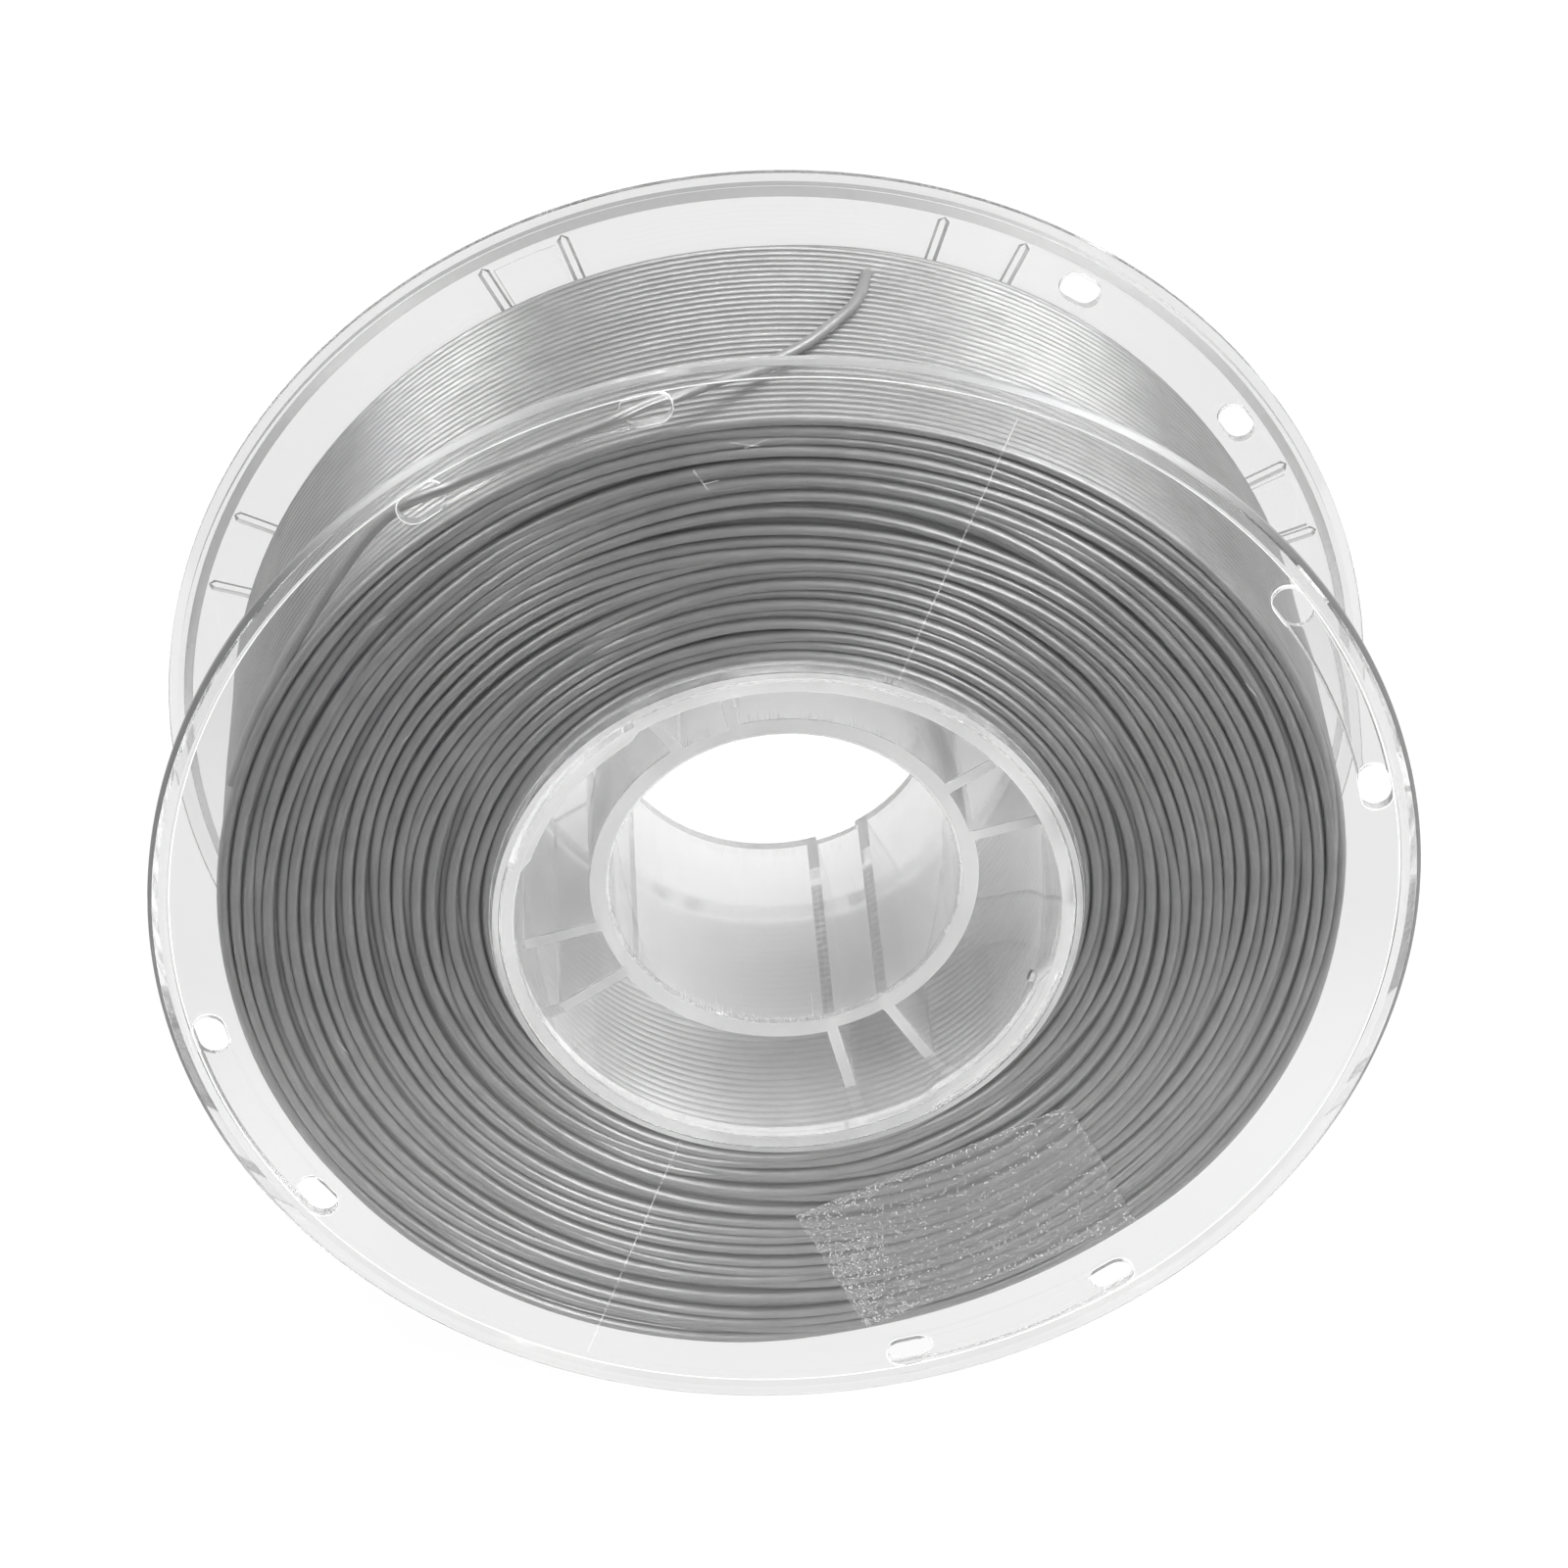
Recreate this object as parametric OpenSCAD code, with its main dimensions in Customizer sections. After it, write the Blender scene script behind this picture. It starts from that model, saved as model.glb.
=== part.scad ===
// Clear moulded spool with 1.75 mm filament.
// The bore lies along Y, the front of the spool faces -Y, and +Z is up.
// The origin is on the bore's axis, midway between the two flanges.

/* [Flanges] */
// Diameter of both flanges over their rims
flange_d = 200; // [190:1:215]
// Clear width between the flanges' inner faces
flange_gap = 55.6; // [48:0.2:70]
// Thickness of a flange's web
web_t = 1.9; // [1.6:0.1:3]
// Radial width of the raised rim
rim_w = 3.3; // [2.5:0.1:3.4]
// How far the rim stands out from the web
rim_rise = 1.05; // [0.8:0.05:2]
// Bevel along the rim's outer edge
rim_bevel = 0.65; // [0.2:0.05:0.9]
// Depth of the lead-in on the rim's inner side
lead_in = 1.3; // [0.4:0.1:1.4]
// Radial width of the lip round the front flange's central hole
lip_w = 1.1; // [0.8:0.1:2]
// How far that lip stands out from the web
lip_rise = 1.7; // [1:0.1:2.5]

/* [Filament holes] */
// Width of a stadium hole in the front flange
hole_w = 5; // [4:0.1:5.2]
// Length of a stadium hole, end to end
hole_l = 7.9; // [7.2:0.1:10]
// Radial distance from the flange's edge to the middle of a hole
hole_inset = 6; // [5.9:0.1:7]
// Angle between the two holes of a pair
hole_split = 22.5; // [20:0.5:25]
// Depth of the groove between the two holes of a pair
groove_d = 1.2; // [1:0.1:1.4]
// Width of a stadium hole in the rear flange
rear_hole_w = 4.7; // [3.5:0.1:5]
// Length of a stadium hole in the rear flange
rear_hole_l = 7; // [6:0.1:8]
// Radial distance from the rear flange's edge to the middle of a hole
rear_hole_inset = 7.35; // [7.2:0.05:9]
// Pairs of holes in the rear flange
rear_hole_pairs = 2; // [1:1:4]

/* [Rear ribs] */
// Pairs of low ribs on the rear flange
rear_rib_pairs = 8; // [4:4:8]
// Width of a low rib
rear_rib_w = 1.3; // [0.8:0.1:2]
// How far a low rib stands out
rear_rib_h = 0.55; // [0.3:0.05:0.7]
// Angle between the two ribs of a pair
rear_rib_split = 8.3; // [6:0.1:12]
// Depth of the channels between the ribs in line with the hub's ribs
channel_d = 0.45; // [0.2:0.05:0.8]

/* [Hub] */
// Diameter of the drum that the filament is wound on
drum_d = 92.4; // [88:0.2:96]
// Wall thickness of the drum
drum_wall = 3.2; // [2.6:0.1:4]
// Step from the drum down to the spigot that the front flange sits on
spigot_step = 1; // [0.6:0.1:1.2]
// How far the drum's front end stands out from the front web
drum_proud = 1.9; // [1.5:0.1:3]
// Diameter of the bore
bore_d = 55.5; // [50:0.5:60]
// Wall thickness of the bore tube
bore_wall = 3.25; // [2.2:0.05:4]
// Depth of the tube's front end below the drum's front end
bore_recess = 10.9; // [8.5:0.1:20]
// Bevel inside the tube's front end
bore_bevel = 0.8; // [0.3:0.1:1.2]
// Pairs of plate ribs between the tube and the drum
rib_pairs = 4; // [2:1:6]
// Thickness of a plate rib
rib_t = 2; // [1.2:0.1:3]
// Angle between the two ribs of a pair
rib_split = 18.8; // [14:0.2:24]
// Angle of the first pair of ribs and holes, from +X towards +Z
pair_angle = 24; // [20:1:28]
// Depth of the flats on the tube's wall between the ribs of a pair
flat_d = 0.55; // [0.2:0.05:1]
// Depth of the notches in the tube's rear end, along the bore
notch_l = 2; // [1:0.1:4]
// Depth of those notches into the wall
notch_d = 0.9; // [0.3:0.1:1.2]

/* [Latches] */
// Angle where the first latch begins
latch_start = -58; // [-62:1:-54]
// Angle that one latch takes
latch_span = 43; // [30:1:46]
// Thickness of the pad inside a latch
latch_pad = 0.9; // [0.4:0.1:1.5]
// Length of that pad along the axis
latch_l = 5; // [3:0.5:8]
// Depth of the relief outside a latch
latch_relief = 1; // [0.5:0.1:1.2]
// Diameter of the hole that takes the filament's start
start_hole_d = 2.2; // [1.9:0.1:3]

/* [Filament] */
// Diameter of the filament
filament_d = 1.75; // [1.6:0.05:1.8]
// Radial distance from the flange's edge to the outer layer of turns
wound_inset = 10.7; // [10.6:0.1:20]
// Gap between one turn and the next in the outer layer
turn_gap = 0.44; // [0.42:0.02:1.2]
// Gap between the winding and each flange
side_gap = 0.3; // [0.2:0.05:0.5]
// Rings that the layers' edges show on each side of the winding, fewer than the layers
side_rings = 9; // [6:1:10]
// Height of those rings
side_ring_h = 0.8; // [0.4:0.1:0.9]

/* [Tape] */
// Length of the piece of clear tape
tape_l = 49.5; // [30:0.5:60]
// Width of the tape
tape_w = 27.4; // [15:0.2:32]
// Thickness of the tape
tape_t = 0.2; // [0.1:0.05:0.5]
// Turn of the tape on the web
tape_turn = 25.6; // [0:0.2:45]
// Height of the tape's middle above the flange's lowest point
tape_inset = 37.2; // [34:0.1:38]
// Distance of the tape's middle from the bore's axis, to the right
tape_right = 29.6; // [10:0.1:32]

/* [Hidden] */
$fn = 160;

fit = 0.15;                         // running fit of the front flange on the spigot
wound_fit = 0.1;                    // gap between the drum and the winding
over = 1;                           // how far a cut runs past the face it opens

flange_r = flange_d / 2;
inner_z = flange_gap / 2;           // inner face of a web
web_z = inner_z + web_t;            // outer face of a web
rim_z = web_z + rim_rise;           // outer face of a rim
rim_r = flange_r - rim_w;           // foot of the rim's inner slope
front_slope = 0.7;                  // radial run of that slope on the front flange
rear_slope = 1.5;                   // and on the rear flange, half of it into the rim

hole_r = flange_r - hole_inset;
rear_hole_r = flange_r - rear_hole_inset;
rear_hole_angle = pair_angle + hole_split;
rear_rib_in = 4;                    // where a low rib starts, outside the drum
channel_half = rear_rib_split / 2 - asin(rear_rib_w / 2 / (flange_r / 2));

drum_r = drum_d / 2;
drum_in = drum_r - drum_wall;
spigot_r = drum_r - spigot_step;
drum_z = web_z + drum_proud;
bore_r = bore_d / 2;
tube_r = bore_r + bore_wall;
tube_z = drum_z - bore_recess;
flat_half = rib_split / 2 - asin(rib_t / 2 / tube_r);
start_hole_z = inner_z - start_hole_d / 2 - 1.5;
start_hole_angle = latch_start + latch_span - 8;

// The outer layer: its rings lie on loop_r, and its chords cut inside that by their sag.
filament_r = filament_d / 2;
sides = 6;
rings = 24;
loop_r = flange_r - wound_inset - filament_r;
core_r = loop_r * cos(180 / rings) - filament_r - wound_fit;
core_z = inner_z - side_gap;
core_out = core_r / cos(180 / rings);
core_in = drum_r + wound_fit + 2.2;
side_ring_w = (core_out - core_in) / side_rings;
first_z = core_z - filament_r - 0.2;
turns = min(16, floor(2 * first_z / (filament_d + turn_gap)));
pitch = 2 * first_z / turns;
first_angle = 45;                   // where the outer layer starts, at the front
ramp_span = 14;                     // arc of the ramp that leads up into it
over_r = loop_r + filament_d + 0.5; // radius of the end where it lies over the turns

// Both ends of the parked end's way through the front flange.
in_angle = pair_angle + 90 - hole_split / 2;
out_angle = pair_angle + 90 + hole_split / 2;
half_hole = asin(hole_l / 2 / hole_r);
behind_z = inner_z - filament_r - 0.35;
groove_z = web_z - groove_d + filament_r + 0.15;
through_z = (behind_z + groove_z) / 2;

// The loose end after the last full turn, as [angle, radius, z].
// It climbs over the rear turns, bends to the front and is threaded through two holes.
lift = turns * 360 + first_angle;
end_lift = [for (k = [1:6]) [lift + 15 * k, loop_r + (over_r - loop_r) * k / 6, -first_z]];
end_drift = [for (k = [7:24])
    [lift + 15 * k, over_r, -first_z + (first_z - 19) * (1 - cos(10 * (k - 6))) / 2]];
base = 360 * (turns + 1);
end_route = [
    [base + 62.0, over_r, -19.0],
    [base + 69.0, over_r, -19.0],
    [base + 74.5, over_r, -18.9],
    [base + 78.2, over_r, -17.9],
    [base + 80.4, over_r, -15.6],
    [base + 80.9, over_r, -12.8],
    [base + 81.5, over_r, -9.2],
    [base + 82.5, over_r, -5.2],
    [base + 83.9, over_r, -1.0],
    [base + 85.7, over_r, 3.6],
    [base + 87.8, over_r + 0.1, 8.4],
    [base + 90.3, over_r + 0.3, 13.0],
    [base + 93.2, over_r + 0.8, 17.4],
    [base + 96.2, over_r + 1.6, 21.3],
    [base + in_angle - half_hole - 1.4, hole_r - 0.6, behind_z - 1.4],
    [base + in_angle - half_hole, hole_r - 0.2, behind_z - 0.1],
    [base + in_angle, hole_r, through_z],
    [base + in_angle + half_hole, hole_r - 0.1, groove_z],
    [base + in_angle + half_hole + 1.6, hole_r - 0.4, groove_z + 0.1],
    [base + in_angle + 8.5, hole_r - 0.8, groove_z],
    [base + in_angle + 12, hole_r - 0.9, groove_z],
    [base + out_angle - half_hole - 3.2, hole_r - 0.3, groove_z],
    [base + out_angle - half_hole - 1.6, hole_r, groove_z + 0.1],
    [base + out_angle - half_hole, hole_r + 0.2, groove_z],
    [base + out_angle, hole_r + 0.3, through_z],
    [base + out_angle + half_hole, hole_r + 0.2, behind_z - 0.1],
    [base + out_angle + half_hole + 1.8, hole_r, behind_z - 1.2],
    [base + out_angle + half_hole + 5, hole_r - 0.7, behind_z - 2.2],
    [base + out_angle + half_hole + 9, hole_r - 1.9, behind_z - 2.8],
    [base + out_angle + half_hole + 12, hole_r - 2.8, behind_z - 3.1],
];

// Puts the spool's axis on Y: local z points to the front, local angles run from +X to +Z.
module on_axis() rotate([90, 0, 0]) children();

module pie(r_in, r_out, z_low, z_high, from, span)
    rotate([0, 0, from])
        rotate_extrude(angle = span)
            polygon([[r_in, z_low], [r_out, z_low], [r_out, z_high], [r_in, z_high]]);

module pipe(r_in, r_out, z_low, z_high)
    rotate_extrude()
        polygon([[r_in, z_low], [r_out, z_low], [r_out, z_high], [r_in, z_high]]);

// A hole with round ends that lies along the rim, cut right through.
module stadium(r, angle, width, length)
    rotate([0, 0, angle]) translate([r, 0, 0])
        linear_extrude(2 * rim_z + 2 * over, center = true)
            union() {
                square([width, length - width], center = true);
                translate([0, (length - width) / 2]) circle(d = width);
                translate([0, (width - length) / 2]) circle(d = width);
            }

// The rim's profile, from its inner side round its edge to its foot on the web.
function rim_profile(foot_r, slope) = [
    [flange_r - lead_in * 1.2, inner_z],
    [flange_r, inner_z + lead_in],
    [flange_r, rim_z - rim_bevel],
    [flange_r - rim_bevel, rim_z],
    [foot_r + slope, rim_z],
    [foot_r, web_z],
];

module front_flange() color([0.93, 0.94, 0.95, 0.5]) on_axis()
    difference() {
        rotate_extrude()
            polygon(concat(
                [[spigot_r + fit, inner_z], [rim_r, inner_z], [rim_r, web_z]],
                [[spigot_r + fit + lip_w + 0.4, web_z],
                 [spigot_r + fit + lip_w, web_z + lip_rise],
                 [spigot_r + fit, web_z + lip_rise]]));
        for (k = [0:3]) {
            for (side = [-1, 1])
                stadium(hole_r, pair_angle + 90 * k + side * hole_split / 2, hole_w, hole_l);
            pie(hole_r - hole_w / 2, hole_r + hole_w / 2, web_z - groove_d, web_z + over,
                pair_angle + 90 * k - hole_split / 2, hole_split);
        }
    }

// The rim is parted from its web at the foot, so that neither is a dished solid.
module front_rim() color([0.93, 0.94, 0.95, 0.5]) on_axis()
    rotate_extrude()
        polygon(concat([[rim_r, inner_z]], rim_profile(rim_r, front_slope)));

// One low rib, with a gabled outer end.
module rear_rib(angle)
    rotate([0, 0, angle])
        translate([0, 0, -web_z - rear_rib_h])
            linear_extrude(rear_rib_h)
                polygon([
                    [drum_r + rear_rib_in, -rear_rib_w / 2],
                    [rim_r - 0.9, -rear_rib_w / 2],
                    [rim_r - 0.2, 0],
                    [rim_r - 0.9, rear_rib_w / 2],
                    [drum_r + rear_rib_in, rear_rib_w / 2]]);

module rear_flange() color([0.93, 0.94, 0.95, 0.5]) on_axis()
    difference() {
        union() {
            mirror([0, 0, 1])
                rotate_extrude()
                    polygon(concat(
                        [[drum_in, inner_z]],
                        rim_profile(rim_r - rear_slope / 2, rear_slope),
                        [[drum_in, web_z]]));
            for (k = [0:rear_rib_pairs - 1], side = [-1, 1])
                rear_rib(pair_angle + 360 / rear_rib_pairs * k + side * rear_rib_split / 2);
        }
        for (k = [0:3])
            pie(drum_r + rear_rib_in, rim_r - 2.1, -web_z - over, -web_z + channel_d,
                pair_angle + 90 * k - channel_half, 2 * channel_half);
        for (k = [0:rear_hole_pairs - 1], side = [-1, 1])
            stadium(rear_hole_r, rear_hole_angle + 360 / rear_hole_pairs * k + side * hole_split / 2,
                rear_hole_w, rear_hole_l);
    }

module drum() color([0.95, 0.96, 0.97, 0.6]) on_axis()
    difference() {
        union() {
            pipe(drum_in, drum_r, -inner_z, inner_z);
            pipe(drum_in, spigot_r, inner_z, drum_z);
            for (k = [0, 1])
                pie(drum_in - latch_pad, drum_in + drum_wall / 2, drum_z - latch_l, drum_z,
                    latch_start + 180 * k, latch_span);
        }
        for (k = [0, 1])
            pie(spigot_r - latch_relief, spigot_r + over, web_z, drum_z + over,
                latch_start + 180 * k, latch_span);
        rotate([0, 0, start_hole_angle]) translate([drum_in - latch_pad - over, 0, start_hole_z])
            rotate([0, 90, 0]) cylinder(d = start_hole_d, h = drum_wall + latch_pad + 2 * over);
    }

module bore_tube() color([0.95, 0.96, 0.97, 0.6]) on_axis()
    difference() {
        rotate_extrude()
            polygon([
                [bore_r, -web_z],
                [tube_r, -web_z],
                [tube_r, tube_z],
                [bore_r + bore_bevel, tube_z],
                [bore_r, tube_z - bore_bevel]]);
        for (k = [0:rib_pairs - 1]) {
            middle = pair_angle + 360 / rib_pairs * k;
            pie(tube_r - flat_d, tube_r + over, -web_z - over, tube_z + over,
                middle - flat_half, 2 * flat_half);
            pie(bore_r - over, bore_r + notch_d, -web_z - over, -web_z + notch_l,
                middle - flat_half, 2 * flat_half);
        }
    }

module hub_ribs() color([0.95, 0.96, 0.97, 0.6]) on_axis()
    for (k = [0:rib_pairs - 1], side = [-1, 1])
        difference() {
            intersection() {
                rotate([0, 0, pair_angle + 360 / rib_pairs * k + side * rib_split / 2])
                    translate([tube_r - over, -rib_t / 2, -web_z])
                        cube([drum_in - tube_r + 2 * over, rib_t, web_z + tube_z]);
                translate([0, 0, -web_z]) cylinder(r = drum_in, h = web_z + tube_z);
            }
            translate([0, 0, -web_z - over]) cylinder(r = tube_r, h = web_z + tube_z + 2 * over);
        }

// One side of the core in section, from its edge inwards: a ridge for each ring.
function side_profile() = [
    for (k = [0:side_rings - 1]) each [
        [core_out - side_ring_w * k, core_z - side_ring_h],
        [core_out - side_ring_w * (k + 0.5), core_z]],
    [core_in, core_z - side_ring_h],
    [drum_r / 2, core_z - side_ring_h]];

function reversed(v) = [for (k = [len(v) - 1:-1:0]) v[k]];

// All layers but the outermost, as one ring with as many sides as a turn, so that its flats back
// the turns, with the layers' edges on both of its sides and the ramp up into the outer layer.
module winding_core() color("darkgray") on_axis() {
    front = side_profile();
    section = concat(front, reversed([for (p = front) [p[0], -p[1]]]));
    n = len(section);
    difference() {
        union() {
            polyhedron(
                [for (i = [0:rings - 1], p = section)
                    [p[0] * cos(360 * i / rings), p[0] * sin(360 * i / rings), p[1]]],
                [for (i = [0:rings - 1], k = [0:n - 1])
                    let (a = i * n + k, b = i * n + (k + 1) % n,
                         c = (i + 1) % rings * n + k, d = (i + 1) % rings * n + (k + 1) % n)
                    each [[a, b, c], [b, d, c]]]);
            pie(core_r - over, loop_r + filament_r - 0.1, first_z - filament_r,
                first_z + filament_r, first_angle - ramp_span, ramp_span);
        }
        translate([0, 0, -rim_z]) cylinder(r = drum_r + wound_fit, h = 2 * rim_z);
    }
}

function polar(p) = [p[1] * cos(p[0]), p[1] * sin(p[0]), p[2]];

// Catmull-Rom curve through points p, with n steps between each two.
function smooth(p, n) = [
    for (i = [0:len(p) - 2], k = [0:n - 1])
        let (t = k / n, a = p[max(i - 1, 0)], b = p[i], c = p[i + 1], d = p[min(i + 2, len(p) - 1)])
            0.5 * (2 * b + (c - a) * t + (2 * a - 5 * b + 4 * c - d) * t * t
                   + (3 * b - a - 3 * c + d) * t * t * t),
    p[len(p) - 1]];

function unit(v) = v / norm(v);

turn_points = [
    for (k = [0:turns * rings])
        polar([first_angle + k * 360 / rings, loop_r, first_z - k * pitch / rings])];
start_straight = [
    turn_points[0] + filament_d * [-sin(first_angle), cos(first_angle), 0]];
end_points = [for (p = concat(end_lift, end_drift)) polar(p)];
fine_points = [for (p = smooth(end_route, 2)) polar(p)];
last = fine_points[len(fine_points) - 1];
tip = [last + filament_d * unit(last - fine_points[len(fine_points) - 2])];
path = concat(
    [turn_points[0]], start_straight, [for (k = [1:turns * rings]) turn_points[k]],
    end_points, fine_points, tip);

// One ring of the tube, square to the path; its first corner points away from the axis.
function ring(i) =
    let (t = unit(path[min(i + 1, len(path) - 1)] - path[max(i - 1, 0)]),
         out = unit([path[i][0], path[i][1], 0]),
         u = unit(out - (out * t) * t),
         v = cross(t, u))
    [for (k = [0:sides - 1])
        path[i] + filament_r * (cos(360 * k / sides) * u + sin(360 * k / sides) * v)];

function segment_gap(p, a, b) =
    let (ab = b - a, t = max(0, min(1, ((p - a) * ab) / (ab * ab))))
    norm(p - a - t * ab);

// Least gap: of each turn to the next one, and of the loose end to all the turns.
function least_gap() = min(concat(
    [for (k = [0:(turns - 1) * rings - 1])
        segment_gap(turn_points[k], turn_points[k + rings], turn_points[k + rings + 1])],
    [for (p = concat([for (k = [2:len(end_points) - 1]) end_points[k]], fine_points),
          k = [rings:turns * rings - 7])
        segment_gap(p, turn_points[k], turn_points[k + 1])])) - filament_d;

module outer_turns() {
    echo(least_gap_mm = least_gap());
    points = [for (i = [0:len(path) - 1]) each ring(i)];
    color("silver") on_axis()
        polyhedron(points, concat(
            [for (i = [0:len(path) - 2], k = [0:sides - 1])
                let (a = i * sides + k, b = i * sides + (k + 1) % sides)
                each [[a, a + sides, b], [b, a + sides, b + sides]]],
            [for (k = [1:sides - 2]) [0, k, k + 1]],
            [for (k = [1:sides - 2])
                let (e = (len(path) - 1) * sides) [e, e + k + 1, e + k]]));
}

module clear_tape() color([0.85, 0.87, 0.9, 0.4]) on_axis()
    translate([tape_right, tape_inset - flange_r, web_z])
        rotate([0, 0, tape_turn])
            translate([-tape_l / 2, -tape_w / 2, 0])
                cube([tape_l, tape_w, tape_t]);

front_flange();
front_rim();
rear_flange();
drum();
bore_tube();
hub_ribs();
winding_core();
outer_turns();
clear_tape();
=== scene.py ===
import math

import bmesh
import bpy
import numpy as np
from mathutils import Matrix, Vector


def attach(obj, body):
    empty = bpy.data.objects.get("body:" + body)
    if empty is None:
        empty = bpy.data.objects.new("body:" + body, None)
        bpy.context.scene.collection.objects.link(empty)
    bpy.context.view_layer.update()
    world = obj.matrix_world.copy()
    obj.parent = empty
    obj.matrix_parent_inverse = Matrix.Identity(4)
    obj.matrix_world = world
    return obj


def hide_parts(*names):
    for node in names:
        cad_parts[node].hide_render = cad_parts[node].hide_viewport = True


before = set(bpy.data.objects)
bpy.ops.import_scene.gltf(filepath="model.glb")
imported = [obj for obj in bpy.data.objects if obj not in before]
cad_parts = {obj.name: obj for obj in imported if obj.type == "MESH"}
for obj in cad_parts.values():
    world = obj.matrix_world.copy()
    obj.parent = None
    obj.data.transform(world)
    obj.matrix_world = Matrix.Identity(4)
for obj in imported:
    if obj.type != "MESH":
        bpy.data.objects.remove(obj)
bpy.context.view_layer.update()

MM = 0.001

# A clear moulded spool full of filament. Its axis is Y, with the front flange towards -Y, and angles are in
# degrees from +X towards +Z.

# ---------------------------------------------------------------- sizes, in millimetres
# They are the CAD's, but for the ends of the low ribs, the fields between them and the strand's layers.
FLANGE_R = 100.0          # both flanges, over the rims
BEVEL_R = FLANGE_R - 1.56 # where the bevel on a flange's inner face begins
INNER = 27.8              # inner face of a web, from mid-width
WEB = 29.7                # outer face of a web
RIM = 30.75               # outer face of a rim
FOOT = 96.7               # foot of the rim's inner slope on the web
BORE_R, TUBE_R = 27.75, 31.0
TUBE_END = 20.7           # front end of the bore tube
DRUM_IN, SPIGOT_R, DRUM_R = 43.0, 45.2, 46.2
DRUM_END = 31.6           # front end of the drum
LIP_R, LIP = 46.45, 31.4  # lip round the front flange's central hole
FLAT = 0.55               # depth of the flats on the tube between the ribs of a pair
PAIR = 24.0               # angle of the first pair of ribs and holes
RIB_T, RIB_SPLIT = 2.0, 18.8
LOW_RIB_IN = DRUM_R + 4   # inner ends of the low ribs on the rear flange
LOW_RIB_OUT, LOW_RIB_POINT = 95.0, 0.7   # pointed outer ends, 0.8 mm inside the CAD's, clear of a fillet
LOW_RIB_SPLIT = 8.3       # angle between the two ribs of a pair
RECESS_OUT, RECESS_SPAN, RECESS = 94.6, 6.4, 0.7   # shallow field between low ribs, deeper than the CAD's
NOTCH, NOTCH_L = 0.9, 2.0 # depth and length of the notches in the rear edge of the bore
HOLE_R, HOLE_W, HOLE_L, HOLE_SPLIT = 94.0, 5.0, 7.9, 22.5     # the front flange's parking holes
GROOVE = 1.2              # depth of the groove between two holes
REAR_HOLE_R, REAR_HOLE_W, REAR_HOLE_L = 92.65, 4.7, 7.0
LATCH, LATCH_SPAN = -58.0, 43.0       # first angle and span of a latch in the drum's front end
PAD_T, PAD_REAR = 0.9, -26.9          # the pad inside a latch
START_R, START_Y = 1.1, -25.2         # the hole that takes the strand's start
START = LATCH + LATCH_SPAN - 8        # its angle
TAPE_L, TAPE_W, TAPE_T, TAPE_TURN, TAPE_X, TAPE_Z = 49.5, 27.4, 0.2, 25.6, 29.6, -62.8
STRAND_R = 0.875
WOUND_IN = DRUM_R + 0.05 + STRAND_R   # centre of the innermost turns
WOUND_OUT = 88.35                     # centre of the outermost turns
SIDE_Y = 26.6                         # centre of the turns beside a web
LAYER_Y, LAYER_TURNS = 26.5, 31       # outermost and innermost layers
CORE_Y = 24.3                         # half width of the plain ring inside the winding
FLOOR_Z = -0.1002                     # in metres, 0.2 mm below the rims


# ---------------------------------------------------------------- small helpers
def linear(hex_colour):
    """sRGB hex to the linear RGBA that a socket takes."""
    out = []
    for i in (1, 3, 5):
        c = int(hex_colour[i:i + 2], 16) / 255
        out.append(c / 12.92 if c <= 0.04045 else ((c + 0.055) / 1.055) ** 2.4)
    return (*out, 1.0)


def add(tree, kind, **fill):
    """Adds a node. A keyword that names a property sets it; i_NAME or i0, i1.. fills or links an input."""
    n = tree.nodes.new(kind)
    for key, value in fill.items():
        if key.startswith("i_") or (key[0] == "i" and key[1:].isdigit()):
            name = int(key[1:]) if key[1:].isdigit() else key[2:].replace("_", " ")
            socket = n.inputs[name]
            if isinstance(value, bpy.types.NodeSocket):
                tree.links.new(value, socket)
            else:
                socket.default_value = value
        else:
            setattr(n, key, value)
    return n


def new_material(name):
    """An empty node material."""
    m = bpy.data.materials.new(name)
    m.use_nodes = True
    m.node_tree.nodes.clear()
    return m


def polar(r, angle, y):
    """A point in metres, from a radius, an angle and a depth."""
    a = math.radians(angle)
    return Vector((r * math.cos(a) * MM, y * MM, r * math.sin(a) * MM))


def beside(angle):
    """A function from (r, w, y) to a point: r outward at the angle, w across it and y along the axis."""
    a = math.radians(angle)
    radial = Vector((math.cos(a), 0, math.sin(a)))
    across = Vector((-math.sin(a), 0, math.cos(a)))
    return lambda r, w, y: (radial * r + across * w + Vector((0, y, 0))) * MM


def mesh_object(name, verts, faces):
    """A mesh in the scene, from points in metres."""
    mesh = bpy.data.meshes.new(name)
    mesh.from_pydata([tuple(v) for v in verts], [], faces)
    ob = bpy.data.objects.new(name, mesh)
    bpy.context.scene.collection.objects.link(ob)
    return ob


def outward(ob):
    """Turns every face outward."""
    bm = bmesh.new()
    bm.from_mesh(ob.data)
    bmesh.ops.recalc_face_normals(bm, faces=bm.faces)
    bm.to_mesh(ob.data)
    bm.free()
    return ob


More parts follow.
